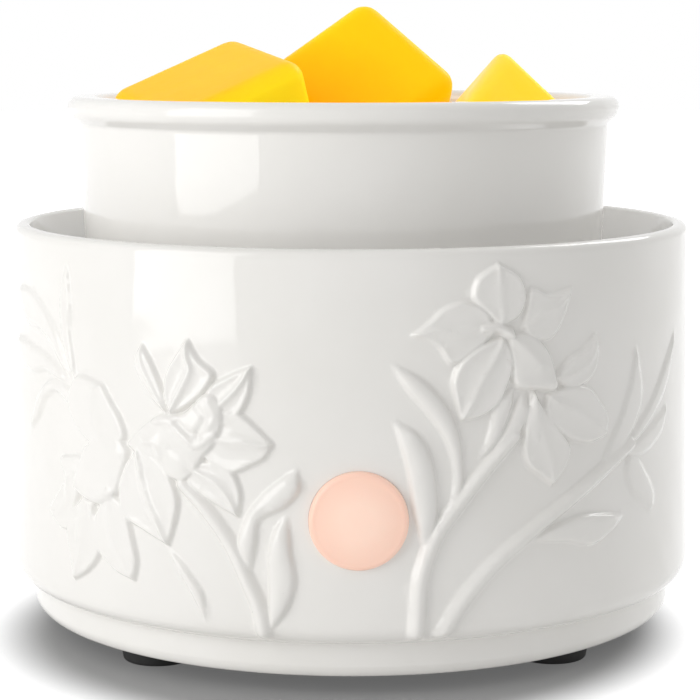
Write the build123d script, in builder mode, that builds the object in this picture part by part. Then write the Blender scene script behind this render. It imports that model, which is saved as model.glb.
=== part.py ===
"""Electric wax melt warmer: a glazed ceramic housing, a hot plate, a lift-out dish and wax melts.

Millimetres. The origin is on the table under the centre of the housing, +Z is up, and the
indicator window faces -Y. The cord inlet is at the back, on +Y.
"""
import os
from math import asin, cos, radians, sin, tan

from build123d import *

os.makedirs("parts", exist_ok=True)

# Housing: slip-cast ceramic with a foot ring, a flared wall, a well and an inner shelf
FOOT_STAND = 3.5
BODY_HEIGHT = 74.4
RIM_RADIUS = 65.0
FLARE = 1.3
WALL = 5.0
RING_INSET = 3.7
RING_HEIGHT = 6.5
RING_EDGE = 2.2
BELLY_EDGE = 3.4
RIM_EDGE = 2.2
RIM_INNER_EDGE = 1.6
SHELF_WIDTH = 12.0
SHELF_THICKNESS = 6.0
SHELF_SLOPE = 8.0
LEDGE_WIDTH = 2.6
LEDGE_HEIGHT = 6.0
RING_LIP = 4.0

# Raised flower sprays on the wall. A place is the way round the wall from the window's middle and
# the height above the foot ring. A petal or a leaf is its root, its tip and the bows of its two
# sides, seen from root to tip with left as plus. A stem is the places along it. A crown is its
# throat, the two ends of its mouth, and how far its three sides bow out.
LEAF_HEIGHT = 1.1
PETAL_HEIGHT = 0.9
CROWN_HEIGHT = 1.7
STEM_WIDTH = 2.8
RIGHT_PETALS = (
    ((24.5, 54.5), (24.5, 65.0), 4.5, -5.0),
    ((23.5, 53.5), (9.0, 53.5), -5.5, 4.0),
    ((25.0, 53.0), (17.5, 39.0), -4.5, 5.0),
    ((29.0, 54.0), (39.5, 60.0), 4.0, -4.5),
    ((35.5, 45.0), (45.5, 51.5), 0.5, -5.0),
    ((34.0, 42.5), (48.0, 34.0), 5.0, -4.5),
    ((31.0, 43.0), (35.0, 26.5), -4.0, 4.5),
)
RIGHT_LEAVES = (
    ((27.5, 44.0), (21.0, 32.0), -1.5, 1.5),
    ((29.5, 43.0), (22.0, 31.5), -0.5, 2.5),
    ((11.0, 15.5), (6.0, 39.0), -0.5, -5.0),
    ((13.5, 20.0), (5.5, 49.0), -5.0, -8.0),
    ((46.0, 26.5), (57.0, 48.5), -1.0, -6.0),
    ((51.5, 29.5), (74.5, 49.5), -1.0, -3.5),
    ((53.5, 30.0), (70.0, 36.5), 0.5, -3.5),
    ((54.5, 29.0), (63.0, 18.0), -3.0, 2.5),
    ((30.0, 17.0), (53.0, 18.5), 2.0, -2.5),
)
RIGHT_STEMS = (
    ((10.0, 2.0), (10.5, 11.5), (18.0, 25.5), (28.0, 36.0)),
    ((14.0, 2.0), (23.0, 13.0), (40.5, 24.0), (55.5, 31.0)),
)
RIGHT_CROWNS = (((26.0, 53.5), (27.0, 44.0), (36.0, 43.0), 0.5, 0.5, 3.0),)
LEFT_PETALS = (
    ((-34.5, 39.0), (-39.5, 50.5), 2.5, -1.0),
    ((-33.5, 39.0), (-30.0, 52.0), 2.0, -5.5),
    ((-28.0, 39.0), (-18.5, 48.0), 2.0, -4.5),
    ((-29.0, 35.5), (-14.5, 35.0), 5.0, -5.5),
    ((-29.5, 30.5), (-20.5, 22.5), 5.0, -2.0),
    ((-40.5, 32.5), (-34.0, 16.0), -6.5, 5.0),
    ((-53.0, 29.5), (-65.5, 18.0), -3.0, 6.0),
    ((-53.0, 23.0), (-56.5, 6.5), -3.5, 5.5),
    ((-47.5, 24.0), (-41.0, 9.0), -6.0, 3.0),
    ((-50.0, 30.0), (-51.0, 43.5), 7.0, -6.0),
)
LEFT_LEAVES = (
    ((-54.5, 34.0), (-75.0, 31.0), -9.5, -6.5),
    ((-58.0, 42.5), (-83.5, 57.0), -5.0, -0.5),
    ((-58.5, 41.5), (-85.0, 47.5), -2.5, 2.0),
    ((-56.5, 42.5), (-59.5, 64.0), 3.5, 0.5),
    ((-18.5, 12.0), (-10.5, 31.0), 4.5, 1.0),
    ((-15.0, 2.5), (-12.0, 23.0), 2.0, -3.0),
    ((-26.5, 3.0), (-34.0, 16.0), 0.5, -2.0),
)
LEFT_STEMS = (((-16.0, 2.0), (-19.0, 11.5), (-26.5, 23.0), (-31.0, 27.0)),)
LEFT_CROWNS = (
    ((-42.5, 33.0), (-31.5, 27.5), (-25.5, 43.0), -0.8, 4.0, 1.2),
    ((-48.5, 34.5), (-56.0, 23.5), (-45.0, 23.0), 2.0, 1.5, 3.5),
)

# Hot plate in the well, with its seal, bosses and centre stud
PLATE_DEPTH = 8.0
PLATE_GAP = 2.5
PLATE_THICKNESS = 3.0
PAD_INSET = 7.5
PAD_STEP = 1.0
GASKET_THICKNESS = 1.2
GASKET_INSET = 1.0
BOSS_INSET = 5.0
BOSS_RADIUS = 3.8
BOSS_LENGTH = 10.0
STUD_RADIUS = 2.5

# Heater stack under the plate
ELEMENT_THICKNESS = 1.8
ELEMENT_HOLE = 8.0
ELEMENT_SLOTS = 18
ELEMENT_SLOT = 1.2
MICA_THICKNESS = 0.8
MICA_MARGIN = 1.3
MICA_GAP = 1.4
MICA_NOTCH_GAP = 1.0
CLAMP_INSET = 3.0
CLAMP_THICKNESS = 1.5
CLAMP_BEAD = 1.2
NUT_FLATS = 8.0
NUT_HEIGHT = 4.0
SPACER_RADIUS = 4.5
SPACER_LENGTH = 9.0
SHIELD_INSET = 3.0
SHIELD_SHEET = 0.8
SHIELD_RIM = 3.0
STUD_END = 1.2

# Element tabs and the push-on receptacles on their leads
TAB_INSET = 2.5
TAB_WIDTH = 6.3
TAB_THICKNESS = 0.8
TAB_LENGTH = 10.0
TAB_ANGLES = (30, 150)
RECEPTACLE_WALL = 0.8
RECEPTACLE_LENGTH = 11.0
RECEPTACLE_GRIP = 6.0

# Thermal fuse strapped under the clamp plate
FUSE_RADIUS = 2.0
FUSE_LENGTH = 11.5
FUSE_WIRE = 0.5
FUSE_STUB = 5.0
FUSE_INSET = 13.0
FUSE_ANGLE = 60
CLIP_SHEET = 0.6
CLIP_WIDTH = 6.0
CLIP_EAR = 4.6
CLIP_SCREW_RADIUS = 1.1
CLIP_HEAD_RADIUS = 1.9
CLIP_HEAD_HEIGHT = 1.3

# Base plate, tie screws and feet
BASE_RECESS = 0.5
BASE_THICKNESS = 2.5
BASE_RIB_GAP = 2.0
BASE_RIB_WIDTH = 1.6
BASE_RIB_HEIGHT = 4.0
POST_RADIUS = 5.0
POST_HEIGHT = 8.0
VENT_COUNT = 11
VENT_WIDTH = 3.0
VENT_LENGTH = 14.0
VENT_INSET = 11.0
VENT_ARC = 240
TIE_ANGLES = (0, 120, 240)
TIE_RADIUS = 2.0
TIE_HEAD_RADIUS = 3.6
TIE_HEAD_HEIGHT = 2.6
TIE_GRIP = 7.0
FOOT_GAP = 0.15
FOOT_ANGLES = (45, 135, 225, 315)
FOOT_TOP_RADIUS = 7.2
FOOT_BOTTOM_RADIUS = 6.5
FOOT_STEM_RADIUS = 2.9
FOOT_BULB_RADIUS = 3.7
FOOT_BULB_HEIGHT = 3.0
FOOT_EDGE = 0.6

# Terminal block and its screws
BLOCK_WIDTH = 16.0
BLOCK_LENGTH = 20.0
BLOCK_HEIGHT = 14.0
BLOCK_EDGE = 1.0
BLOCK_GAP = 1.4
POLE_PITCH = 10.0
ENTRY_DEPTH = 3.0
HEATER_ENTRY = 9.0
LAMP_ENTRY = 3.0
CORD_ENTRY_RADIUS = 1.8
CORD_ENTRY = 6.0
POLE_SCREW_RADIUS = 2.0
POLE_SCREW_LENGTH = 4.0
BLOCK_SCREW_RADIUS = 1.4
BLOCK_HEAD_RADIUS = 2.6
BLOCK_HEAD_HEIGHT = 2.0

# Indicator window in the front wall
LENS_Z = 32.1
LENS_RADIUS = 8.5
LENS_EDGE = 1.4
LENS_DOME = 0.9
LENS_STEM_RADIUS = 6.0
LENS_STEM_BORE = 4.6
LENS_STEM_LENGTH = 11.0
LENS_SEAT_DEPTH = 1.1
LENS_GASKET_THICKNESS = 0.6
RETAINER_RADIUS = 9.0
RETAINER_THICKNESS = 2.4
HOLDER_LENGTH = 4.0
HOLDER_FLANGE_RADIUS = 5.6
HOLDER_FLANGE = 2.0
LAMP_RADIUS = 2.4
LAMP_LENGTH = 5.0
LAMP_PIN_PITCH = 3.4

# Cord inlet in the back wall
INLET_RISE = 1.5
CORD_BORE_RADIUS = 3.0
GROMMET_NECK_RADIUS = 5.6
GROMMET_FLANGE_RADIUS = 8.0
GROMMET_FLANGE = 2.0
GROMMET_EDGE = 1.0
INLET_SEAT_DEPTH = 1.0

# Inner leads
LEAD_RADIUS = 1.1

# Dish that stands on the hot plate, a little left of centre
DISH_SHIFT = -1.5
DISH_HEIGHT = 32.0
DISH_RADIUS = 51.2
DISH_TAPER = 1.0
DISH_WALL = 4.3
DISH_FLOOR = 5.9
DISH_FOOT_EDGE = 5.0
DISH_INNER_EDGE = 6.0
BEAD_HEIGHT = 4.1
BEAD_PROUD = 2.0
BEAD_EDGE = 1.8

# Wax melts: snapped-off blocks with tapered sides, leaning on each other in the dish.
# Each place is the large face's centre, from the dish's axis and above its floor, and its tilt.
# Each size is the large face's edge, the depth and the rounding of the edges.
WAX_TAPER = 4
WAX_CORNER_MORE = 0.6
LEFT_SIZE = (30.1, 26.2, 3.4)
LEFT_PLACE = (-26.8, -12.2, 30.0)
LEFT_TILT = (-160.7, 15.6, -29.3)
MIDDLE_SIZE = (27.9, 27.0, 3.4)
MIDDLE_PLACE = (3.5, -1.8, 30.7)
MIDDLE_TILT = (-127.9, -0.4, -41.9)
RIGHT_SIZE = (24.0, 19.5, 2.2)
RIGHT_PLACE = (19.8, -11.8, 23.0)
RIGHT_TILT = (177.9, 50.9, 131.3)

# Clearances, and how far a cut runs past what it cuts
CLEARANCE = 0.25
SCREW_CLEARANCE = 0.15
SNUG = 0.1
SINK = 1.0

# Heights and radii that follow
ring_bottom = FOOT_STAND
step_z = ring_bottom + RING_HEIGHT
rim_z = ring_bottom + BODY_HEIGHT
base_bottom = ring_bottom + BASE_RECESS
base_top = base_bottom + BASE_THICKNESS
plate_top = rim_z - PLATE_DEPTH
plate_bottom = plate_top - PLATE_THICKNESS
shelf_top = plate_bottom - GASKET_THICKNESS
shelf_bottom = shelf_top - SHELF_THICKNESS
belly_radius = RIM_RADIUS + FLARE
ring_radius = belly_radius - RING_INSET
well_radius = RIM_RADIUS - WALL
shelf_inner = well_radius - SHELF_WIDTH
plate_radius = well_radius - PLATE_GAP
pad_radius = plate_radius - PAD_INSET
boss_pitch = shelf_inner - BOSS_INSET
rabbet_radius = ring_radius - RING_LIP
ledge_radius = rabbet_radius - LEDGE_WIDTH
base_radius = rabbet_radius - CLEARANCE
slope_top = base_top + 2 * LEDGE_HEIGHT
inlet_z = slope_top + GROMMET_FLANGE_RADIUS + INLET_RISE


def wall_radius(z):
    """Outer radius of the housing's flared wall at height z."""
    return belly_radius + (RIM_RADIUS - belly_radius) * (z - step_z) / (rim_z - step_z)


def around(pitch, angle, z):
    """Point at a pitch radius and an angle from +X, at height z."""
    return Vector(pitch * cos(radians(angle)), pitch * sin(radians(angle)), z)


def corner(section, r, z):
    """Vertex of a revolved profile nearest to a radius and a height."""
    return section.vertices().sort_by_distance((r, z))[0]


def front_plane(y):
    """Plane facing the front at depth y from the axis, centred on the indicator window."""
    return Plane(origin=(0, -y, LENS_Z), x_dir=(1, 0, 0), z_dir=(0, -1, 0))


def back_plane(y):
    """Plane facing the back at depth y from the axis, centred on the cord inlet."""
    return Plane(origin=(0, y, inlet_z), x_dir=(-1, 0, 0), z_dir=(0, 1, 0))


def save(builder, name):
    """Label a finished piece and write it out."""
    builder.part.label = name
    export_step(builder.part, f"parts/{name}.step")


# Forms of the raised sprays: each is pushed out through the wall, then trimmed to its skin
spray_radius = (belly_radius + RIM_RADIUS) / 2
spray_reach = belly_radius - shelf_inner + SINK + CROWN_HEIGHT


def spray_plane(across):
    """Plane inside the wall that faces out of it, at a way round it from the window's middle."""
    turn = across / spray_radius
    out = Vector(sin(turn), -cos(turn), 0)
    return Plane(origin=out * shelf_inner + Vector(0, 0, step_z), x_dir=(cos(turn), sin(turn), 0), z_dir=out)


def on_plane(places, across):
    """Places of a spray as points of the plane that faces them."""
    return [(spray_radius * sin((s - across) / spray_radius), z) for s, z in places]


def petal(root, tip, bow, other_bow):
    """Petal or leaf between two arcs."""
    middle = (root[0] + tip[0]) / 2
    ends = on_plane((root, tip), middle)
    with BuildPart() as form:
        with BuildSketch(spray_plane(middle)):
            with BuildLine():
                SagittaArc(*ends, bow)
                SagittaArc(*ends, other_bow)
            make_face()
        extrude(amount=spray_reach)
    return form.part


def stem(*places):
    """Stem of one width along a smooth line."""
    middle = (places[0][0] + places[-1][0]) / 2
    with BuildPart() as form:
        with BuildSketch(spray_plane(middle)):
            with BuildLine():
                Spline(*on_plane(places, middle))
            trace(line_width=STEM_WIDTH)
        extrude(amount=spray_reach)
    return form.part


def crown(throat, mouth_start, mouth_end, *bows):
    """Crown of a flower: a throat that opens to a mouth, with three bowed sides."""
    middle = (throat[0] + mouth_start[0] + mouth_end[0]) / 3
    corners = on_plane((throat, mouth_start, mouth_end), middle)
    with BuildPart() as form:
        with BuildSketch(spray_plane(middle)):
            with BuildLine():
                for start, end, bow in zip(corners, corners[1:] + corners[:1], bows):
                    SagittaArc(start, end, -bow)
            make_face()
        extrude(amount=spray_reach)
    return form.part


def proud(forms, height):
    """Forms trimmed to the wall's skin, from just inside it to a height proud of it."""
    low = step_z + BELLY_EDGE
    high = rim_z - RIM_EDGE
    with BuildPart() as relief:
        add(forms)
        with BuildSketch(Plane.XZ):
            with BuildLine():
                Polyline(
                    (wall_radius(low) - SINK, low),
                    (wall_radius(low) + height, low),
                    (wall_radius(high) + height, high),
                    (wall_radius(high) - SINK, high),
                    close=True,
                )
            make_face()
        revolve(axis=Axis.Z, mode=Mode.INTERSECT)
    return relief.part


# Ceramic body
lens_seat = wall_radius(LENS_Z) - LENS_SEAT_DEPTH
lens_bore = LENS_STEM_RADIUS + CLEARANCE
inlet_seat = wall_radius(inlet_z) - INLET_SEAT_DEPTH
inlet_bore = GROMMET_NECK_RADIUS + SNUG

with BuildPart() as ceramic_body:
    with BuildSketch(Plane.XZ) as section:
        with BuildLine():
            Polyline(
                (rabbet_radius, ring_bottom),
                (ring_radius, ring_bottom),
                (ring_radius, step_z),
                (belly_radius, step_z),
                (RIM_RADIUS, rim_z),
                (well_radius, rim_z),
                (well_radius, shelf_top),
                (shelf_inner, shelf_top),
                (shelf_inner, shelf_bottom),
                (wall_radius(shelf_bottom - SHELF_SLOPE) - WALL, shelf_bottom - SHELF_SLOPE),
                (belly_radius - WALL, slope_top),
                (ledge_radius, base_top + LEDGE_HEIGHT),
                (ledge_radius, base_top),
                (rabbet_radius, base_top),
                close=True,
            )
        make_face()
        fillet(corner(section, ring_radius, ring_bottom), RING_EDGE)
        fillet(corner(section, belly_radius, step_z), BELLY_EDGE)
        fillet(corner(section, RIM_RADIUS, rim_z), RIM_EDGE)
        fillet(corner(section, well_radius, rim_z), RIM_INNER_EDGE)
    revolve(axis=Axis.Z)
    add(proud([petal(*sizes) for sizes in RIGHT_LEAVES + LEFT_LEAVES], LEAF_HEIGHT))
    add(proud([stem(*places) for places in RIGHT_STEMS + LEFT_STEMS], LEAF_HEIGHT))
    add(proud([petal(*sizes) for sizes in RIGHT_PETALS + LEFT_PETALS], PETAL_HEIGHT))
    add(proud([crown(*sizes) for sizes in RIGHT_CROWNS + LEFT_CROWNS], CROWN_HEIGHT))
    with BuildSketch(front_plane(lens_seat)):
        Circle(LENS_RADIUS + CLEARANCE)
    extrude(amount=LENS_SEAT_DEPTH + SINK, mode=Mode.SUBTRACT)
    with BuildSketch(front_plane(lens_seat)):
        Circle(lens_bore)
    extrude(amount=-WALL - SINK, mode=Mode.SUBTRACT)
    with BuildSketch(back_plane(inlet_seat)):
        Circle(GROMMET_FLANGE_RADIUS + CLEARANCE)
    extrude(amount=INLET_SEAT_DEPTH + SINK, mode=Mode.SUBTRACT)
    with BuildSketch(back_plane(inlet_seat)):
        Circle(inlet_bore)
    extrude(amount=-WALL - SINK, mode=Mode.SUBTRACT)
save(ceramic_body, "ceramic_body")

# Hot plate: cast aluminium with a raised pad, three tapped bosses and a centre stud
boss_bottom = plate_bottom - BOSS_LENGTH
nut_top = plate_bottom - 2 * MICA_THICKNESS - ELEMENT_THICKNESS - CLAMP_THICKNESS
spacer_top = nut_top - NUT_HEIGHT
shield_top = spacer_top - SPACER_LENGTH
stud_bottom = shield_top - SHIELD_SHEET - NUT_HEIGHT - STUD_END

with BuildPart() as hot_plate:
    with BuildSketch(Plane.XZ) as section:
        with BuildLine():
            Polyline(
                (0, stud_bottom),
                (STUD_RADIUS, stud_bottom),
                (STUD_RADIUS, plate_bottom),
                (plate_radius, plate_bottom),
                (plate_radius, plate_top - PAD_STEP),
                (pad_radius, plate_top - PAD_STEP),
                (pad_radius - PAD_STEP, plate_top),
                (0, plate_top),
                close=True,
            )
        make_face()
    revolve(axis=Axis.Z)
    with BuildSketch(Plane.XY.offset(plate_bottom)):
        for angle in TIE_ANGLES:
            with Locations(around(boss_pitch, angle, 0)):
                Circle(BOSS_RADIUS)
    extrude(amount=-BOSS_LENGTH)
    with BuildSketch(Plane.XY.offset(boss_bottom)):
        for angle in TIE_ANGLES:
            with Locations(around(boss_pitch, angle, 0)):
                Circle(TIE_RADIUS + SCREW_CLEARANCE)
    extrude(amount=TIE_GRIP + SINK, mode=Mode.SUBTRACT)
save(hot_plate, "hot_plate")

# Silicone seal between the hot plate and the shelf
with BuildPart() as plate_gasket:
    with BuildSketch(Plane.XY.offset(shelf_top)):
        Circle(plate_radius)
        Circle(shelf_inner + GASKET_INSET, mode=Mode.SUBTRACT)
    extrude(amount=GASKET_THICKNESS)
save(plate_gasket, "plate_gasket")

# Heating element: a flat mica card wound with ribbon, notched round its edge
mica_radius = boss_pitch - BOSS_RADIUS - MICA_GAP
element_radius = mica_radius - MICA_MARGIN
tab_pitch = element_radius - TAB_INSET
element_top = plate_bottom - MICA_THICKNESS
element_bottom = element_top - ELEMENT_THICKNESS

with BuildPart() as heating_element:
    with BuildSketch(Plane.XY.offset(element_bottom)):
        Circle(element_radius)
        Circle(ELEMENT_HOLE, mode=Mode.SUBTRACT)
        with PolarLocations(element_radius, ELEMENT_SLOTS, start_angle=TAB_ANGLES[0] + 180 / ELEMENT_SLOTS):
            Rectangle(element_radius, ELEMENT_SLOT, mode=Mode.SUBTRACT)
    extrude(amount=ELEMENT_THICKNESS)
save(heating_element, "heating_element")

# Mica sheets above and below the element, cut by one die with notches for the tabs
tab_notch = TAB_WIDTH + 2 * MICA_NOTCH_GAP

with BuildPart() as mica_sheets:
    for z in (element_top, element_bottom - MICA_THICKNESS):
        with BuildSketch(Plane.XY.offset(z)):
            Circle(mica_radius)
            Circle(STUD_RADIUS + CLEARANCE, mode=Mode.SUBTRACT)
            for angle in TAB_ANGLES:
                with Locations(Location(around(mica_radius, angle, 0), (0, 0, angle))):
                    Rectangle(2 * (mica_radius - tab_pitch + MICA_NOTCH_GAP), tab_notch, mode=Mode.SUBTRACT)
        extrude(amount=MICA_THICKNESS)
save(mica_sheets, "mica_sheets")

# Element tabs: brass blades that stand down from the element
tab_bottom = element_bottom - TAB_LENGTH

with BuildPart() as element_tabs:
    with BuildSketch(Plane.XY.offset(element_bottom)):
        for angle in TAB_ANGLES:
            with Locations(Location(around(tab_pitch, angle, 0), (0, 0, angle))):
                Rectangle(TAB_THICKNESS, TAB_WIDTH)
    extrude(amount=-TAB_LENGTH)
save(element_tabs, "element_tabs")

# Push-on receptacles over the lower ends of the tabs
receptacle_top = tab_bottom + RECEPTACLE_GRIP
receptacle_bottom = receptacle_top - RECEPTACLE_LENGTH
receptacle_depth = TAB_THICKNESS + 2 * (SNUG + RECEPTACLE_WALL)
receptacle_width = TAB_WIDTH + 2 * (SNUG + RECEPTACLE_WALL)

with BuildPart() as spade_receptacles:
    with BuildSketch(Plane.XY.offset(receptacle_bottom)):
        for angle in TAB_ANGLES:
            with Locations(Location(around(tab_pitch, angle, 0), (0, 0, angle))):
                Rectangle(receptacle_depth, receptacle_width)
    extrude(amount=RECEPTACLE_LENGTH)
    with BuildSketch(Plane.XY.offset(receptacle_top)):
        for angle in TAB_ANGLES:
            with Locations(Location(around(tab_pitch, angle, 0), (0, 0, angle))):
                Rectangle(TAB_THICKNESS + 2 * SNUG, TAB_WIDTH + 2 * SNUG)
    extrude(amount=-RECEPTACLE_GRIP - SNUG, mode=Mode.SUBTRACT)
save(spade_receptacles, "spade_receptacles")

# Clamp plate: pressed steel with a stiffening bead round its edge
clamp_radius = tab_pitch - CLAMP_INSET
clamp_bottom = nut_top
fuse_centre = around(clamp_radius - FUSE_INSET, FUSE_ANGLE, clamp_bottom - FUSE_RADIUS - SNUG)
fuse_out = around(1, FUSE_ANGLE, 0)
fuse_along = around(1, FUSE_ANGLE + 90, 0)
clip_hole_pitch = FUSE_RADIUS + SNUG + CLIP_SHEET + CLIP_EAR / 2
clip_points = [fuse_centre + fuse_out * clip_hole_pitch, fuse_centre - fuse_out * clip_hole_pitch]

with BuildPart() as clamp_plate:
    with BuildSketch(Plane.XY.offset(clamp_bottom)):
        Circle(clamp_radius)
        Circle(STUD_RADIUS + CLEARANCE, mode=Mode.SUBTRACT)
        for point in clip_points:
            with Locations((point.X, point.Y)):
                Circle(CLIP_SCREW_RADIUS + SCREW_CLEARANCE, mode=Mode.SUBTRACT)
    extrude(amount=CLAMP_THICKNESS)
    with BuildSketch(Plane.XY.offset(clamp_bottom)):
        Circle(clamp_radius)
        Circle(clamp_radius - CLAMP_BEAD, mode=Mode.SUBTRACT)
    extrude(amount=-CLAMP_BEAD)
save(clamp_plate, "clamp_plate")

# Two hexagon nuts on the stud: one clamps the element, one holds the heat shield
with BuildPart() as stud_nuts:
    for z in (spacer_top, shield_top - SHIELD_SHEET - NUT_HEIGHT):
        with BuildSketch(Plane.XY.offset(z)):
            RegularPolygon(NUT_FLATS / 2, 6, major_radius=False)
            Circle(STUD_RADIUS + SCREW_CLEARANCE, mode=Mode.SUBTRACT)
        extrude(amount=NUT_HEIGHT)
save(stud_nuts, "stud_nuts")

# Spacer tube between the clamp nut and the heat shield
with BuildPart() as stud_spacer:
    with BuildSketch(Plane.XY.offset(shield_top)):
        Circle(SPACER_RADIUS)
        Circle(STUD_RADIUS + CLEARANCE, mode=Mode.SUBTRACT)
    extrude(amount=SPACER_LENGTH)
save(stud_spacer, "stud_spacer")

# Heat shield: a shallow pressed pan
shield_radius = tab_pitch - SHIELD_INSET

with BuildPart() as heat_shield:
    with BuildSketch(Plane.XZ) as section:
        with BuildLine():
            Polyline(
                (STUD_RADIUS + CLEARANCE, shield_top - SHIELD_SHEET),
                (shield_radius, shield_top - SHIELD_SHEET),
                (shield_radius, shield_top + SHIELD_RIM),
                (shield_radius - SHIELD_SHEET, shield_top + SHIELD_RIM),
                (shield_radius - SHIELD_SHEET, shield_top),
                (STUD_RADIUS + CLEARANCE, shield_top),
                close=True,
            )
        make_face()
    revolve(axis=Axis.Z)
save(heat_shield, "heat_shield")

# Thermal fuse with its two stub wires
fuse_plane = Plane(origin=fuse_centre, x_dir=fuse_out, z_dir=fuse_along)
fuse_reach = FUSE_LENGTH / 2 + FUSE_STUB

with BuildPart() as thermal_fuse:
    with BuildSketch(fuse_plane):
        Circle(FUSE_RADIUS)
    extrude(amount=FUSE_LENGTH / 2, both=True)
    with BuildSketch(fuse_plane):
        Circle(FUSE_WIRE)
    extrude(amount=fuse_reach, both=True)
save(thermal_fuse, "thermal_fuse")

# Strap clip that presses the fuse to the clamp plate
clip_inner = FUSE_RADIUS + SNUG
clip_outer = clip_inner + CLIP_SHEET
clip_plane = Plane(origin=fuse_centre, x_dir=fuse_out, z_dir=-fuse_along)

with BuildPart() as fuse_clip:
    with BuildSketch(clip_plane):
        Circle(clip_outer)
        with Locations((0, clip_inner / 2)):
            Rectangle(2 * clip_outer, clip_inner)
        with Locations((0, clip_inner - CLIP_SHEET / 2)):
            Rectangle(2 * (clip_outer + CLIP_EAR), CLIP_SHEET)
        Circle(clip_inner, mode=Mode.SUBTRACT)
        with Locations((0, clip_outer)):
            Rectangle(2 * clip_inner, 2 * clip_outer, mode=Mode.SUBTRACT)
    extrude(amount=CLIP_WIDTH / 2, both=True)
    with BuildSketch(Plane.XY.offset(clamp_bottom)):
        for point in clip_points:
            with Locations((point.X, point.Y)):
                Circle(CLIP_SCREW_RADIUS + SCREW_CLEARANCE)
    extrude(amount=-CLIP_SHEET, mode=Mode.SUBTRACT)
save(fuse_clip, "fuse_clip")

# Two screws through the clip's ears
clip_head_top = clamp_bottom - CLIP_SHEET

with BuildPart() as clip_screws:
    for point in clip_points:
        with BuildSketch(Plane.XY.offset(clip_head_top)):
            with Locations((point.X, point.Y)):
                Circle(CLIP_SCREW_RADIUS)
        extrude(amount=CLIP_SHEET + CLAMP_THICKNESS)
        with BuildSketch(Plane.XY.offset(clip_head_top)):
            with Locations((point.X, point.Y)):
                Circle(CLIP_HEAD_RADIUS)
        extrude(amount=-CLIP_HEAD_HEIGHT)
save(clip_screws, "clip_screws")

# Base plate: moulded plastic with a ring rib, screw posts and vents
rib_radius = boss_pitch - POST_RADIUS - BASE_RIB_GAP
vent_pitch = rib_radius - VENT_INSET
foot_pitch = base_radius - FOOT_TOP_RADIUS - FOOT_GAP
block_reach = rib_radius - BASE_RIB_WIDTH - BLOCK_GAP
block_y = (block_reach**2 - (BLOCK_WIDTH / 2) ** 2) ** 0.5 - BLOCK_LENGTH / 2
head_seat = base_bottom + TIE_HEAD_HEIGHT + BASE_RECESS
foot_points = [around(foot_pitch, angle, 0) for angle in FOOT_ANGLES]

with BuildPart() as base_plate:
    with BuildSketch(Plane.XY.offset(base_bottom)):
        Circle(base_radius)
        with Locations(*foot_points):
            Circle(FOOT_STEM_RADIUS + SNUG, mode=Mode.SUBTRACT)
        with PolarLocations(vent_pitch, VENT_COUNT, start_angle=270 - VENT_ARC / 2, angular_range=VENT_ARC):
            SlotOverall(VENT_LENGTH, VENT_WIDTH, mode=Mode.SUBTRACT)
        with Locations((0, block_y)):
            Circle(BLOCK_SCREW_RADIUS + SCREW_CLEARANCE, mode=Mode.SUBTRACT)
    extrude(amount=BASE_THICKNESS)
    with BuildSketch(Plane.XY.offset(base_top)):
        Circle(rib_radius)
        Circle(rib_radius - BASE_RIB_WIDTH, mode=Mode.SUBTRACT)
    extrude(amount=BASE_RIB_HEIGHT)
    with BuildSketch(Plane.XY.offset(base_top)):
        for angle in TIE_ANGLES:
            with Locations(around(boss_pitch, angle, 0)):
                Circle(POST_RADIUS)
    extrude(amount=POST_HEIGHT)
    with BuildSketch(Plane.XY.offset(base_bottom)):
        for angle in TIE_ANGLES:
            with Locations(around(boss_pitch, angle, 0)):
                Circle(TIE_RADIUS + CLEARANCE)
    extrude(amount=BASE_THICKNESS + POST_HEIGHT, mode=Mode.SUBTRACT)
    with BuildSketch(Plane.XY.offset(base_bottom)):
        for angle in TIE_ANGLES:
            with Locations(around(boss_pitch, angle, 0)):
                Circle(TIE_HEAD_RADIUS + CLEARANCE)
    extrude(amount=head_seat - base_bottom, mode=Mode.SUBTRACT)
save(base_plate, "base_plate")

# Long tie screws that pull the base plate and the hot plate together on the ceramic
with BuildPart() as tie_screws:
    for angle in TIE_ANGLES:
        with BuildSketch(Plane.XY.offset(head_seat)):
            with Locations(around(boss_pitch, angle, 0)):
                Circle(TIE_RADIUS)
        extrude(amount=boss_bottom + TIE_GRIP - head_seat)
        with BuildSketch(Plane.XY.offset(head_seat)):
            with Locations(around(boss_pitch, angle, 0)):
                Circle(TIE_HEAD_RADIUS)
        extrude(amount=-TIE_HEAD_HEIGHT)
        with BuildSketch(Plane.XY.offset(head_seat - TIE_HEAD_HEIGHT)):
            with Locations(around(boss_pitch, angle, 0)):
                Rectangle(TIE_HEAD_RADIUS, TIE_HEAD_HEIGHT / 2)
                Rectangle(TIE_HEAD_HEIGHT / 2, TIE_HEAD_RADIUS)
        extrude(amount=TIE_HEAD_HEIGHT / 2, mode=Mode.SUBTRACT)
save(tie_screws, "tie_screws")

# Rubber feet: tapered pads with push-in stems
bulb_bottom = base_top + SNUG

with BuildPart() as rubber_feet:
    for point in foot_points:
        with BuildSketch(Plane(origin=point, x_dir=(1, 0, 0), z_dir=(0, -1, 0))) as section:
            with BuildLine():
                Polyline(
                    (0, 0),
                    (FOOT_BOTTOM_RADIUS, 0),
                    (FOOT_TOP_RADIUS, base_bottom),
                    (FOOT_STEM_RADIUS, base_bottom),
                    (FOOT_STEM_RADIUS, bulb_bottom),
                    (FOOT_BULB_RADIUS, bulb_bottom),
                    (FOOT_STEM_RADIUS, bulb_bottom + FOOT_BULB_HEIGHT),
                    (0, bulb_bottom + FOOT_BULB_HEIGHT),
                    close=True,
                )
            make_face()
            fillet(corner(section, FOOT_BOTTOM_RADIUS, 0), FOOT_EDGE)
        revolve(axis=Axis(point, (0, 0, 1)))
save(rubber_feet, "rubber_feet")

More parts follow.
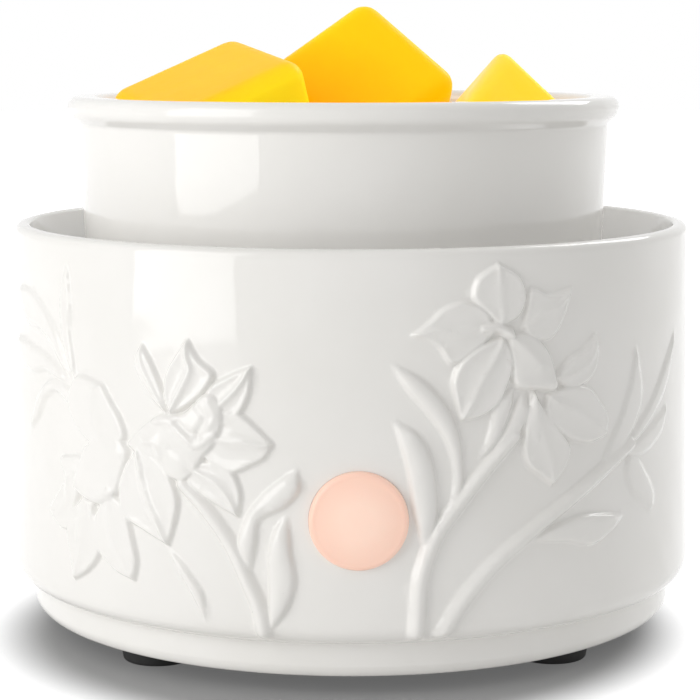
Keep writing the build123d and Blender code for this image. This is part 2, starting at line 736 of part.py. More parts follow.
# Terminal block with blind wire entries on both sides and two pole screws
pole_points = [(0, block_y - POLE_PITCH / 2), (0, block_y + POLE_PITCH / 2)]
block_top = base_top + BLOCK_HEIGHT
block_face = BLOCK_WIDTH / 2
entry_bottom = block_face - ENTRY_DEPTH
heater_entry_z = base_top + HEATER_ENTRY
lamp_entry_z = base_top + LAMP_ENTRY
inner_side = Plane(origin=(block_face, 0, 0), x_dir=(0, 1, 0), z_dir=(1, 0, 0))
cord_side = Plane(origin=(-block_face, 0, 0), x_dir=(0, -1, 0), z_dir=(-1, 0, 0))

with BuildPart() as terminal_block:
    with BuildSketch(Plane.XY.offset(base_top)):
        with Locations((0, block_y)):
            Rectangle(BLOCK_WIDTH, BLOCK_LENGTH)
    extrude(amount=BLOCK_HEIGHT)
    fillet(terminal_block.edges().filter_by(Axis.Z), BLOCK_EDGE)
    with BuildSketch(inner_side):
        for _, y in pole_points:
            with Locations((y, heater_entry_z), (y, lamp_entry_z)):
                Circle(LEAD_RADIUS + SNUG)
    extrude(amount=-ENTRY_DEPTH, mode=Mode.SUBTRACT)
    with BuildSketch(cord_side):
        for _, y in pole_points:
            with Locations((-y, base_top + CORD_ENTRY)):
                Circle(CORD_ENTRY_RADIUS)
    extrude(amount=-ENTRY_DEPTH, mode=Mode.SUBTRACT)
    with BuildSketch(Plane.XY.offset(block_top)):
        with Locations(*pole_points):
            Circle(POLE_SCREW_RADIUS + SCREW_CLEARANCE)
    extrude(amount=-POLE_SCREW_LENGTH, mode=Mode.SUBTRACT)
    with BuildSketch(Plane.XY.offset(base_top)):
        with Locations((0, block_y)):
            Circle(BLOCK_SCREW_RADIUS + SCREW_CLEARANCE)
    extrude(amount=BLOCK_HEIGHT, mode=Mode.SUBTRACT)
    with BuildSketch(Plane.XY.offset(block_top)):
        with Locations((0, block_y)):
            Circle(BLOCK_HEAD_RADIUS + SCREW_CLEARANCE)
    extrude(amount=-BLOCK_HEAD_HEIGHT, mode=Mode.SUBTRACT)
save(terminal_block, "terminal_block")

# Slotted brass pole screws
with BuildPart() as terminal_screws:
    for point in pole_points:
        with BuildSketch(Plane.XY.offset(block_top - POLE_SCREW_LENGTH)):
            with Locations(point):
                Circle(POLE_SCREW_RADIUS)
        extrude(amount=POLE_SCREW_LENGTH)
        with BuildSketch(Plane.XY.offset(block_top)):
            with Locations(point):
                Rectangle(2 * POLE_SCREW_RADIUS, POLE_SCREW_RADIUS / 3)
        extrude(amount=-POLE_SCREW_RADIUS / 2, mode=Mode.SUBTRACT)
save(terminal_screws, "terminal_screws")

# Screw that holds the terminal block to the base plate
with BuildPart() as block_screw:
    with BuildSketch(Plane.XY.offset(base_bottom)):
        with Locations((0, block_y)):
            Circle(BLOCK_SCREW_RADIUS)
    extrude(amount=block_top - BLOCK_HEAD_HEIGHT - base_bottom)
    with BuildSketch(Plane.XY.offset(block_top)):
        with Locations((0, block_y)):
            Circle(BLOCK_HEAD_RADIUS)
    extrude(amount=-BLOCK_HEAD_HEIGHT)
save(block_screw, "block_screw")

# Indicator lens: a domed cap with a hollow stem through the wall
cap_back = lens_seat + LENS_GASKET_THICKNESS
cap_front = cap_back + LENS_EDGE
dome_radius = (LENS_RADIUS**2 + LENS_DOME**2) / (2 * LENS_DOME)
dome_angle = asin(LENS_RADIUS / dome_radius)
dome_centre = cap_front + LENS_DOME - dome_radius
lens_axis = Axis((0, 0, LENS_Z), (0, -1, 0))

with BuildPart() as indicator_lens:
    with BuildSketch(Plane.XY.offset(LENS_Z)):
        with BuildLine():
            ThreePointArc(
                (LENS_RADIUS, -cap_front),
                (dome_radius * sin(dome_angle / 2), -dome_centre - dome_radius * cos(dome_angle / 2)),
                (0, -cap_front - LENS_DOME),
            )
            Polyline(
                (0, -cap_front - LENS_DOME),
                (0, -cap_back),
                (LENS_STEM_BORE, -cap_back),
                (LENS_STEM_BORE, LENS_STEM_LENGTH - cap_back),
                (LENS_STEM_RADIUS, LENS_STEM_LENGTH - cap_back),
                (LENS_STEM_RADIUS, -cap_back),
                (LENS_RADIUS, -cap_back),
                (LENS_RADIUS, -cap_front),
            )
        make_face()
    revolve(axis=lens_axis)
save(indicator_lens, "indicator_lens")

# Soft seal under the lens cap
with BuildPart() as lens_gasket:
    with BuildSketch(front_plane(lens_seat)):
        Circle(LENS_RADIUS - CLEARANCE)
        Circle(lens_bore, mode=Mode.SUBTRACT)
    extrude(amount=LENS_GASKET_THICKNESS)
save(lens_gasket, "lens_gasket")

# Push-on retainer that grips the lens stem behind the wall
inner_wall = wall_radius(LENS_Z) - WALL
retainer_face = (inner_wall**2 - RETAINER_RADIUS**2) ** 0.5 - CLEARANCE

with BuildPart() as lens_retainer:
    with BuildSketch(front_plane(retainer_face)):
        RegularPolygon(RETAINER_RADIUS, 6)
        Circle(LENS_STEM_RADIUS + SNUG, mode=Mode.SUBTRACT)
    extrude(amount=-RETAINER_THICKNESS)
save(lens_retainer, "lens_retainer")

# Lamp holder: a plug in the end of the lens stem
stem_end = cap_back - LENS_STEM_LENGTH

with BuildPart() as lamp_holder:
    with BuildSketch(front_plane(stem_end)):
        Circle(LENS_STEM_BORE - SNUG)
    extrude(amount=HOLDER_LENGTH)
    with BuildSketch(front_plane(stem_end)):
        Circle(HOLDER_FLANGE_RADIUS)
    extrude(amount=-HOLDER_FLANGE)
save(lamp_holder, "lamp_holder")

# Indicator lamp on the holder, inside the stem
lamp_base = stem_end + HOLDER_LENGTH
lamp_shoulder = lamp_base + LAMP_LENGTH - LAMP_RADIUS

with BuildPart() as indicator_lamp:
    with BuildSketch(Plane.XY.offset(LENS_Z)):
        with BuildLine():
            nose = CenterArc((0, -lamp_shoulder), LAMP_RADIUS, 270, 90)
            Polyline(nose @ 0, (0, -lamp_base), (LAMP_RADIUS, -lamp_base), nose @ 1)
        make_face()
    revolve(axis=lens_axis)
save(indicator_lamp, "indicator_lamp")

# Cord grommet in the back wall
inlet_inner = wall_radius(inlet_z) - WALL
grommet_face = (inlet_inner**2 - GROMMET_FLANGE_RADIUS**2) ** 0.5 - CLEARANCE
grommet_length = inlet_seat + GROMMET_FLANGE - (grommet_face - GROMMET_FLANGE)

with BuildPart() as cord_grommet:
    with BuildSketch(back_plane(grommet_face)):
        Circle(GROMMET_NECK_RADIUS)
    extrude(amount=inlet_seat - grommet_face)
    with BuildSketch(back_plane(inlet_seat)):
        Circle(GROMMET_FLANGE_RADIUS)
    extrude(amount=GROMMET_FLANGE)
    fillet(cord_grommet.edges().sort_by(Axis.Y)[-1], GROMMET_EDGE)
    with BuildSketch(back_plane(grommet_face)):
        Circle(GROMMET_FLANGE_RADIUS)
    extrude(amount=-GROMMET_FLANGE)
    with BuildSketch(back_plane(grommet_face - GROMMET_FLANGE)):
        Circle(CORD_BORE_RADIUS)
    extrude(amount=grommet_length, mode=Mode.SUBTRACT)
save(cord_grommet, "cord_grommet")


def lead_radii(points):
    """Largest bend at each corner of a lead's route that its two runs leave room for."""
    radii = []
    for before, here, after in zip(points, points[1:], points[2:]):
        run_in = here - before
        run_out = after - here
        turn = radians(run_in.get_angle(run_out))
        radii.append(0.45 * min(run_in.length, run_out.length) / tan(turn / 2))
    return radii


def lead(points):
    """One insulated wire along straight runs joined by arcs."""
    with BuildPart() as wire:
        with BuildLine() as route:
            FilletPolyline(*points, radius=lead_radii(points))
        with BuildSketch(Plane(origin=route.line @ 0, z_dir=route.line % 0)):
            Circle(LEAD_RADIUS)
        sweep()
    return wire.part


# Leads from the terminal block to the fuse, the element and the lamp
live_y = block_y - POLE_PITCH / 2
neutral_y = block_y + POLE_PITCH / 2
fuse_z = fuse_centre.Z
live_stub = fuse_centre - fuse_along * fuse_reach
element_stub = fuse_centre + fuse_along * fuse_reach
neutral_tab = around(tab_pitch, TAB_ANGLES[0], receptacle_bottom)
live_tab = around(tab_pitch, TAB_ANGLES[1], receptacle_bottom)
holder_back = stem_end - HOLDER_FLANGE

live_route = [
    live_stub,
    live_stub - fuse_along * 8,
    around(tab_pitch + 2.3, 8, fuse_z - 9),
    around(tab_pitch + 3.9, 12, fuse_z - 28),
    around(tab_pitch - 0.5, 27, heater_entry_z + 6),
    Vector(block_face + 11, live_y, heater_entry_z),
    Vector(entry_bottom, live_y, heater_entry_z),
]
neutral_route = [
    neutral_tab,
    neutral_tab - Vector(0, 0, 9),
    neutral_tab + Vector(3, 4, -20),
    around(tab_pitch + 4.3, 41, heater_entry_z + 5),
    Vector(block_face + 11, neutral_y, heater_entry_z),
    Vector(entry_bottom, neutral_y, heater_entry_z),
]
element_route = [
    element_stub,
    element_stub + fuse_along * 8,
    around(tab_pitch + 1, 121, fuse_z - 4),
    around(tab_pitch + 5, 132, fuse_z - 14),
    around(tab_pitch + 5.2, 142, receptacle_bottom - 10),
    live_tab - Vector(0, 0, 9),
    live_tab,
]
lamp_route_right = [
    Vector(LAMP_PIN_PITCH / 2, -holder_back, LENS_Z),
    Vector(LAMP_PIN_PITCH / 2, -holder_back + 9, LENS_Z),
    around(rib_radius - 6.3, -70, lamp_entry_z + 10.5),
    around(rib_radius - 12.9, -18, lamp_entry_z),
    around(rib_radius - 6.5, 28, lamp_entry_z),
    Vector(block_face + 9, neutral_y, lamp_entry_z),
    Vector(entry_bottom, neutral_y, lamp_entry_z),
]
lamp_route_left = [
    Vector(-LAMP_PIN_PITCH / 2, -holder_back, LENS_Z),
    Vector(-LAMP_PIN_PITCH / 2, -holder_back + 9, LENS_Z),
    around(rib_radius - 9.7, -81, lamp_entry_z + 10.5),
    around(rib_radius - 19.9, -30, lamp_entry_z),
    around(rib_radius - 15.4, 23, lamp_entry_z),
    Vector(block_face + 6, live_y, lamp_entry_z),
    Vector(entry_bottom, live_y, lamp_entry_z),
]

with BuildPart() as live_lead:
    add(lead(live_route))
save(live_lead, "live_lead")

with BuildPart() as neutral_lead:
    add(lead(neutral_route))
save(neutral_lead, "neutral_lead")

with BuildPart() as element_lead:
    add(lead(element_route))
save(element_lead, "element_lead")

with BuildPart() as lamp_leads:
    add(lead(lamp_route_right))
    add(lead(lamp_route_left))
save(lamp_leads, "lamp_leads")

# Wax dish: a ceramic bowl with a rolled bead round its rim
dish_rim = plate_top + DISH_HEIGHT
dish_floor = plate_top + DISH_FLOOR
dish_inner = DISH_RADIUS - DISH_WALL
bead_radius = DISH_RADIUS + BEAD_PROUD

with BuildPart() as wax_dish:
    with BuildSketch(Plane(origin=(DISH_SHIFT, 0, 0), x_dir=(1, 0, 0), z_dir=(0, -1, 0))) as section:
        with BuildLine():
            Polyline(
                (0, plate_top),
                (DISH_RADIUS - DISH_TAPER, plate_top),
                (DISH_RADIUS, dish_rim - BEAD_HEIGHT),
                (bead_radius, dish_rim - BEAD_HEIGHT),
                (bead_radius, dish_rim),
                (dish_inner, dish_rim),
                (dish_inner - DISH_TAPER, dish_floor),
                (0, dish_floor),
                close=True,
            )
        make_face()
        fillet(corner(section, DISH_RADIUS - DISH_TAPER, plate_top), DISH_FOOT_EDGE)
        fillet(corner(section, dish_inner - DISH_TAPER, dish_floor), DISH_INNER_EDGE)
        fillet(corner(section, bead_radius, dish_rim), BEAD_EDGE)
        fillet(corner(section, bead_radius, dish_rim - BEAD_HEIGHT), BEAD_EDGE)
        fillet(corner(section, dish_inner, dish_rim), BEAD_EDGE)
    revolve(axis=Axis((DISH_SHIFT, 0, 0), (0, 0, 1)))
save(wax_dish, "wax_dish")


def wax_block(size, place, tilt):
    """Tapered wax block, its size given as the large face's edge, the depth and the rounding."""
    edge, depth, rounding = size
    face = Plane(Location(Vector(DISH_SHIFT, 0, dish_floor) + Vector(place), tilt))
    with BuildPart() as block:
        with BuildSketch(face):
            RectangleRounded(edge, edge, rounding + WAX_CORNER_MORE)
        extrude(amount=depth, taper=WAX_TAPER)
        ends = block.faces().sort_by(Axis(face.origin, face.z_dir))
        fillet(ends[0].edges() + ends[-1].edges(), rounding)
    return block


wax_melt_left = wax_block(LEFT_SIZE, LEFT_PLACE, LEFT_TILT)
save(wax_melt_left, "wax_melt_left")

wax_melt_middle = wax_block(MIDDLE_SIZE, MIDDLE_PLACE, MIDDLE_TILT)
save(wax_melt_middle, "wax_melt_middle")

wax_melt_right = wax_block(RIGHT_SIZE, RIGHT_PLACE, RIGHT_TILT)
save(wax_melt_right, "wax_melt_right")
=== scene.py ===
"""Electric wax melt warmer: a glazed ceramic housing with raised daffodils, its dish and wax melts."""
from math import asin, cos, pi, radians, sin

import bpy
import numpy as np
from mathutils import Matrix, Vector


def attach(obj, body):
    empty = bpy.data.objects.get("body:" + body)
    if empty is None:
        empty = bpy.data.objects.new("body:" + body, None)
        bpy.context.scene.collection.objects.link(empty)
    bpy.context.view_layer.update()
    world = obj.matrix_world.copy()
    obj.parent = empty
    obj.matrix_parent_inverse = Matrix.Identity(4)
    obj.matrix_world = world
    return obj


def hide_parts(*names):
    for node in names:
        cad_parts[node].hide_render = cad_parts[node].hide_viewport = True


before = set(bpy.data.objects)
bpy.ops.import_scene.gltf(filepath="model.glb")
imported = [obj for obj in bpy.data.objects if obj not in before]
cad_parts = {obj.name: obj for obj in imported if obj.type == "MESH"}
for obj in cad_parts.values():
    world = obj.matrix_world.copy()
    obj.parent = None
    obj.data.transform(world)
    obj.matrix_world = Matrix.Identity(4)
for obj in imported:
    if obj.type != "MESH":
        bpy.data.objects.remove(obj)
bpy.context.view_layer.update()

# Ceramic housing: one slip-cast shell with a foot ring, an open well and an inner shelf, in
# white gloss glaze. Two sprays of daffodils stand out from its wall on both sides of the window,
# and the glaze rounds their edges. All its sizes are millimetres, turned to metres in the mesh.
mm = 0.001
RIM_RADIUS = 65.0
RIM_ROUND = 1.3
RIM_FLAT = 63.2
RIM_INNER = 62.4
RIM_INNER_ROUND = 0.7
RIM_Z = 77.9
BELLY_RADIUS = 66.3
BELLY_ROUND = 3.4
STEP_Z = 10.0
RING_RADIUS = 62.6
RING_ROUND = 2.2
RING_BOTTOM = 3.5
WELL_RADIUS = 60.0
FLARE_Z = 68.5
FLARE_ROUND = 4.0
SHELF_TOP = 65.7
SHELF_INNER = 48.0
SHELF_BOTTOM = 59.7
SHELF_UNDER = 51.7
CAVITY_TOP_RADIUS = 60.5
CAVITY_RADIUS = 61.1
SLOPE_TOP = 18.5
LEDGE_RADIUS = 56.0
LEDGE_TOP = 12.5
RABBET_RADIUS = 58.6
BASE_TOP = 6.5

# The wall is a lattice of cells. A cell is parted finer where the relief curves in it and where
# the rim is rounded.
WALL_RADIUS = 65.8
CELLS_ROUND = 344
CELLS_UP = 60
SPLIT = 6
FLAT_ENOUGH = 0.05
RIM_CELLS = slice(-4, -1)
RIM_PARTS = 2

# A rounded corner of a profile is an arc of so many points, with a short straight lead at each end.
ARC_POINTS = 9
LEAD = 0.06

# The square of a length that counts as none
NO_LENGTH = 1e-9


def rounded(corners):
    """Profile through (radius, height, rounding) corners; the leads keep flat stretches flat in shading."""
    points = []
    for k, (r, z, rounding) in enumerate(corners):
        here = np.array((r, z))
        if not rounding:
            points.append(here)
            continue
        into = here - np.array(corners[k - 1][:2])
        out = np.array(corners[(k + 1) % len(corners)][:2]) - here
        into /= np.hypot(*into)
        out /= np.hypot(*out)
        turn = np.arctan2(into[0] * out[1] - into[1] * out[0], into @ out)
        reach = rounding * np.tan(abs(turn) / 2)
        side = np.sign(turn) * np.array((-into[1], into[0]))
        centre = here - into * reach + side * rounding
        points.append(here - into * (reach + LEAD))
        for a in np.linspace(0, turn, ARC_POINTS):
            spoke = (-side[0] * cos(a) + side[1] * sin(a), -side[0] * sin(a) - side[1] * cos(a))
            points.append(centre + rounding * np.array(spoke))
        points.append(here + out * (reach + LEAD))
    return np.array(points)


def resample(points, count):
    """The same line with its points evenly spaced."""
    along = np.r_[0, np.cumsum(np.hypot(*np.diff(points, axis=0).T))]
    even = np.linspace(0, along[-1], count)
    return np.stack([np.interp(even, along, points[:, k]) for k in (0, 1)], axis=1)


outer_wall = resample(rounded([
    (RING_RADIUS, STEP_Z, 0), (BELLY_RADIUS, STEP_Z, BELLY_ROUND),
    (RIM_RADIUS, RIM_Z, RIM_ROUND), (RIM_FLAT, RIM_Z, 0),
]), CELLS_UP * SPLIT + 1)
wall_out = np.gradient(outer_wall, axis=0)[:, ::-1] * (1, -1)
wall_out /= np.hypot(*wall_out.T)[:, None]
wall_z = outer_wall[:, 1]
wall_angle = np.linspace(-pi, pi, CELLS_ROUND * SPLIT, endpoint=False)
wall_s = WALL_RADIUS * wall_angle
relief = np.zeros((len(wall_s), len(wall_z)))


def smooth_line(points, count=40):
    """A smooth curve through a few points."""
    points = np.array(points, float)
    knots = np.r_[0, np.cumsum(np.hypot(*np.diff(points, axis=0).T))]
    slopes = np.gradient(points, knots, axis=0)
    t = np.linspace(0, knots[-1], count)
    k = np.clip(np.searchsorted(knots, t, side="right") - 1, 0, len(knots) - 2)
    width = (knots[k + 1] - knots[k])[:, None]
    u = (t - knots[k])[:, None] / width
    start = (1 + 2 * u) * (1 - u) ** 2 * points[k] + u * (1 - u) ** 2 * width * slopes[k]
    return start + u * u * (3 - 2 * u) * points[k + 1] + u * u * (u - 1) * width * slopes[k + 1]


def patch(line, margin=2.0):
    """The part of the lattice around a line, with its points' places round the wall and up it."""
    low = line.min(axis=0) - margin
    high = line.max(axis=0) + margin
    columns = slice(*np.searchsorted(wall_s, (low[0], high[0])))
    rows = slice(*np.searchsorted(wall_z, (low[1], high[1])))
    s, z = np.meshgrid(wall_s[columns], wall_z[rows], indexing="ij")
    return (columns, rows), s, z


def distance(line, s, z):
    """How far each wall point is from a line."""
    best = np.full(s.shape, np.inf)
    for a, b in zip(line[:-1], line[1:]):
        way = b - a
        u = np.clip(((s - a[0]) * way[0] + (z - a[1]) * way[1]) / max(way @ way, NO_LENGTH), 0, 1)
        best = np.minimum(best, np.hypot(s - a[0] - u * way[0], z - a[1] - u * way[1]))
    return best


def depth(outline, s, z):
    """How far each wall point is inside an outline, less than nothing outside it."""
    odd = np.zeros(s.shape, bool)
    for a, b in zip(outline, np.roll(outline, -1, axis=0)):
        if a[1] != b[1]:
            level = (z < a[1]) != (z < b[1])
            odd ^= level & (s < a[0] + (z - a[1]) * (b[0] - a[0]) / (b[1] - a[1]))
    closed = np.r_[outline, outline[:1]]
    return np.where(odd, 1, -1) * distance(closed, s, z)


def ease(t):
    """From 0 to 1 with a soft start and end."""
    t = np.clip(t, 0, 1)
    return t * t * (3 - 2 * t)


# The forms of the sprays: how far their edges spread and round over, and their soft shapes.
EDGE_SPILL = 0.25
EDGE_ROUND = 0.8
RIB_HALF = 1.0
SLIVER = 0.001
LEAF_STEEPNESS = 0.75
TUBE_EDGE = 0.72
TUBE_REACH = 4.0


def plate(edge):
    """Rounded edge of a raised form, from 0 at the wall to 1 on its top."""
    return np.sin(pi / 2 * np.clip((edge + EDGE_SPILL) / EDGE_ROUND, 0, 1))


def lift_to(place, height):
    """Raises the wall to a height where it is lower."""
    relief[place] = np.maximum(relief[place], height)


def petal(root, left, tip, right, lift=1.0, cup=0.3, rib=0.3):
    """A flower's petal: a rounded rim, two shallow hollows and a rib from root to tip."""
    left_edge = smooth_line([root, *left, tip])
    right_edge = smooth_line([root, *right, tip])
    place, s, z = patch(np.r_[left_edge, right_edge])
    edge = depth(np.r_[left_edge, right_edge[::-1]], s, z)
    middle = distance((left_edge + right_edge) / 2, s, z)
    inside = np.clip(edge, 0, None)
    across = inside / (inside + middle + SLIVER)
    height = lift - cup * np.sin(pi * across) + rib * ease(1 - middle / RIB_HALF)
    lift_to(place, plate(edge) * height)


def leaf(root, left, tip, right, lift=1.3, crown=0.5):
    """A leaf's blade that thins to its tip: flat without a crown, and fully convex with a crown of 1."""
    left_edge = smooth_line([root, *left, tip])
    right_edge = smooth_line([root, *right, tip])
    place, s, z = patch(np.r_[left_edge, right_edge])
    edge = depth(np.r_[left_edge, right_edge[::-1]], s, z)
    inside = np.clip(edge + EDGE_SPILL, 0, None)
    half = inside + distance((left_edge + right_edge) / 2, s, z)
    crowned = crown * np.sin(pi / 2 * inside / half) + (1 - crown) * plate(edge)
    lift_to(place, np.minimum(lift, LEAF_STEEPNESS * half) * crowned)


def stem(points, widths, lift=1.3):
    """A round stem with the given half widths at its start and its end."""
    line = smooth_line(points)
    place, s, z = patch(line, margin=3.0)
    along = np.stack([np.hypot(s - p[0], z - p[1]) for p in line]).argmin(axis=0) / (len(line) - 1)
    half = widths[0] + (widths[1] - widths[0]) * along + EDGE_SPILL
    away = np.clip(distance(line, s, z) / half, 0, 1)
    lift_to(place, lift * np.cos(pi / 2 * away))


def trumpet(throat, mouth, outline, lifts):
    """A flower's crown: a tube that rises and widens from its throat to its mouth."""
    rim = smooth_line([*outline, outline[0]], count=90)
    place, s, z = patch(rim)
    edge = depth(rim, s, z)
    way = np.array(mouth) - np.array(throat)
    along = ease(((s - throat[0]) * way[0] + (z - throat[1]) * way[1]) / (way @ way))
    swell = TUBE_EDGE + (1 - TUBE_EDGE) * np.sin(pi / 2 * np.clip(edge / TUBE_REACH, 0, 1))
    height = (lifts[0] + (lifts[1] - lifts[0]) * along) * swell
    lift_to(place, plate(edge) * height)


def fold(points, width, lift):
    """A narrow ridge, or a groove where the lift is negative, on what is already raised."""
    line = smooth_line(points)
    place, s, z = patch(line)
    relief[place] += lift * ease(1 - distance(line, s, z) / width)


# Right spray, front flower: four petals round a crown that hangs to the right
petal(
    (24.5, 64.5), [(22.3, 66.9), (19.6, 69.8), (20.2, 72.4)],
    (24.3, 75.2), [(28.4, 66.4), (29.6, 69.7), (28.6, 72.5)],
    lift=1.1, cup=0.15, rib=0.12,
)
petal(
    (23.5, 63.5), [(22.3, 67.0), (18.0, 69.0), (14.6, 68.0), (11.8, 65.6)],
    (9.0, 63.6), [(20.4, 61.0), (15.7, 58.6), (13.6, 61.4), (11.0, 62.9)],
    lift=1.0, cup=0.25, rib=0.25,
)
petal(
    (25.0, 62.8), [(20.4, 61.1), (17.1, 58.4), (16.0, 55.9), (16.4, 52.5)],
    (17.4, 48.9), [(26.5, 60.5), (26.9, 57.6), (26.0, 54.6), (24.1, 51.3), (21.0, 49.5)],
    lift=1.3, cup=0.35, rib=0.15,
)
petal(
    (29.0, 64.2), [(29.6, 66.5), (30.7, 70.5), (34.7, 69.4)],
    (39.5, 70.2), [(30.6, 62.5), (34.7, 62.0), (36.5, 63.7), (38.0, 66.4)],
    lift=1.0, cup=0.3, rib=0.1,
)
trumpet(
    (26.5, 62.8), (31.5, 53.6),
    [(26.0, 62.8), (26.8, 57.6), (27.3, 54.3), (31.6, 53.4), (35.9, 53.2), (35.4, 56.3),
     (34.2, 59.6), (32.2, 61.8), (28.9, 63.2)],
    lifts=(1.3, 1.75),
)
stem([(21.3, 64.3), (23.8, 64.5), (26.5, 63.2)], (0.9, 1.0), lift=1.6)
fold([(26.0, 63.0), (28.9, 60.9), (32.0, 57.6)], 1.4, 0.35)
fold([(27.8, 55.0), (31.6, 54.4), (35.2, 54.2)], 0.9, 0.2)

# Right spray, rear flower: three petals and two narrow sepals under the crown
petal(
    (35.6, 55.0), [(38.8, 58.0), (42.3, 59.5)],
    (45.3, 61.7), [(38.0, 53.4), (42.9, 53.8), (45.2, 56.0), (45.8, 58.5)],
    lift=1.05, cup=0.2, rib=0.1,
)
petal(
    (34.0, 52.4), [(38.0, 53.2), (43.9, 52.2), (46.0, 49.9), (48.2, 47.0)],
    (47.8, 43.8), [(33.5, 49.2), (35.8, 46.3), (39.5, 43.9), (43.5, 43.0)],
    lift=1.15, cup=0.2, rib=0.1,
)
petal(
    (31.2, 53.0), [(30.1, 50.6), (29.3, 45.5), (29.0, 42.9), (30.3, 39.9), (32.7, 38.2)],
    (35.0, 36.4), [(33.7, 49.1), (36.6, 45.7), (39.0, 42.2), (37.7, 39.1)],
    lift=1.25, cup=0.2, rib=0.1,
)
fold([(31.0, 52.6), (31.1, 48.5), (31.4, 45.0)], 1.0, 0.35)
leaf(
    (27.3, 54.2), [(23.8, 51.3), (22.6, 46.8)],
    (20.9, 42.0), [(27.1, 51.9), (25.4, 47.2), (22.9, 43.4)],
    lift=1.1,
)
leaf(
    (29.6, 53.2), [(27.6, 50.8), (26.0, 47.6), (23.8, 44.5)],
    (22.2, 41.6), [(30.1, 49.5), (28.2, 45.8), (25.6, 43.2)],
    lift=1.1,
)

# Right spray, the flowers' stem with its two leaves
stem(
    [(9.8, 11.6), (10.1, 16.9), (10.5, 21.6), (12.8, 28.6), (17.8, 35.4), (22.9, 41.2),
     (27.4, 45.6)],
    (1.5, 1.3),
    lift=1.4,
)
leaf(
    (11.2, 25.5), [(9.4, 33.5), (8.2, 40.9), (7.0, 45.3)],
    (5.9, 49.1), [(13.3, 33.5), (13.0, 38.8), (12.2, 42.8), (9.4, 47.2)],
    lift=1.45,
)
leaf(
    (13.6, 30.0), [(15.7, 35.3), (16.2, 40.5), (14.2, 46.7), (11.3, 50.7), (7.9, 54.7)],
    (5.6, 58.8), [(17.6, 36.5), (17.8, 42.0), (16.4, 48.6), (13.8, 52.8), (10.5, 56.1)],
    lift=1.45,
)

# Right spray, the long side branch with its leaves
stem(
    [(13.9, 11.6), (17.2, 16.8), (23.1, 23.2), (31.1, 28.8), (40.4, 33.9), (47.5, 37.6),
     (55.3, 41.2)],
    (1.7, 1.1),
    lift=1.25,
)
leaf(
    (45.8, 36.6), [(49.5, 42.5), (53.2, 48.0), (55.9, 53.5)],
    (57.2, 58.6), [(52.0, 40.5), (57.0, 45.0), (59.2, 49.5), (58.3, 54.5)],
    lift=0.5, crown=0.1,
)
leaf(
    (51.5, 39.4), [(57.2, 43.7), (63.0, 48.2), (68.0, 53.2)],
    (74.6, 59.5), [(59.0, 42.6), (65.4, 46.6), (70.6, 51.6)],
    lift=0.5, crown=0.1,
)
leaf(
    (53.5, 39.8), [(58.5, 41.6), (63.6, 43.6)],
    (69.9, 46.3), [(58.6, 38.8), (64.0, 40.2), (67.8, 42.4)],
    lift=0.5, crown=0.1,
)
leaf(
    (54.6, 39.2), [(53.8, 36.8), (54.5, 34.0), (56.7, 31.4)],
    (62.9, 28.0), [(57.9, 37.9), (60.3, 35.2), (62.4, 32.9), (63.5, 30.2)],
    lift=0.5, crown=0.1,
)
leaf(
    (30.2, 26.9), [(34.0, 28.4), (37.6, 29.4), (41.7, 30.0), (47.5, 29.6)],
    (53.2, 28.6), [(35.6, 26.3), (38.8, 25.9), (41.7, 25.0), (45.2, 24.8), (48.6, 26.2)],
    lift=1.1, crown=0.2,
)

# Left spray, front flower: its star of petals behind a frilled crown that faces right
petal(
    (-34.3, 49.0), [(-38.9, 53.5), (-41.0, 58.0)],
    (-39.6, 60.6), [(-34.6, 51.5), (-35.8, 54.5), (-37.6, 57.8)],
    lift=1.3, cup=0.45, rib=0.0,
)
petal(
    (-33.5, 49.0), [(-34.6, 53.0), (-34.0, 56.5), (-32.4, 59.0)],
    (-30.2, 62.0), [(-30.0, 50.8), (-26.2, 54.2), (-25.1, 56.3), (-28.0, 58.8)],
    lift=1.35, cup=0.45,
)
petal(
    (-28.0, 49.0), [(-25.5, 54.4), (-22.1, 56.4)],
    (-18.4, 58.0), [(-24.0, 47.5), (-20.4, 50.0), (-18.7, 53.5)],
    lift=1.15, cup=0.4,
)
petal(
    (-29.0, 45.5), [(-25.0, 50.5), (-20.4, 50.0), (-17.6, 47.9)],
    (-14.6, 45.0), [(-26.0, 41.5), (-21.7, 39.8), (-18.5, 41.2), (-16.0, 42.7)],
    lift=1.15, cup=0.35,
)
petal(
    (-29.5, 40.5), [(-26.0, 41.5), (-21.7, 39.9), (-20.2, 36.4)],
    (-20.7, 32.3), [(-29.8, 37.5), (-27.5, 35.8), (-25.4, 34.6)],
    lift=1.1, cup=0.3,
)
petal(
    (-40.5, 42.6), [(-43.2, 38.4), (-44.5, 34.1), (-43.0, 30.2), (-39.0, 28.3)],
    (-33.9, 26.2), [(-36.0, 41.0), (-32.6, 36.7), (-31.9, 33.9), (-32.5, 30.4)],
    lift=1.15, cup=0.3,
)
trumpet(
    (-42.0, 42.8), (-26.5, 46.0),
    [(-42.8, 43.0), (-39.0, 46.6), (-35.2, 48.9), (-30.5, 49.6), (-28.1, 51.8), (-26.0, 53.2),
     (-23.4, 51.4), (-23.2, 48.4), (-24.2, 45.2), (-26.6, 42.2), (-28.4, 39.6), (-30.8, 37.7),
     (-33.4, 38.2), (-36.0, 40.8), (-40.6, 41.6)],
    lifts=(1.0, 2.0),
)
fold([(-36.5, 47.6), (-33.4, 48.0), (-30.2, 45.9), (-28.1, 44.2), (-24.6, 46.4)], 0.9, 0.4)
fold([(-31.5, 47.8), (-29.0, 46.3), (-27.2, 45.9)], 1.0, -0.45)
fold([(-28.3, 51.2), (-26.2, 49.2), (-27.6, 46.4)], 0.9, -0.4)
fold([(-25.6, 51.8), (-24.4, 49.6), (-25.4, 47.4)], 0.8, 0.3)
fold([(-38.6, 44.0), (-36.2, 44.0), (-35.2, 41.8)], 0.9, 0.35)
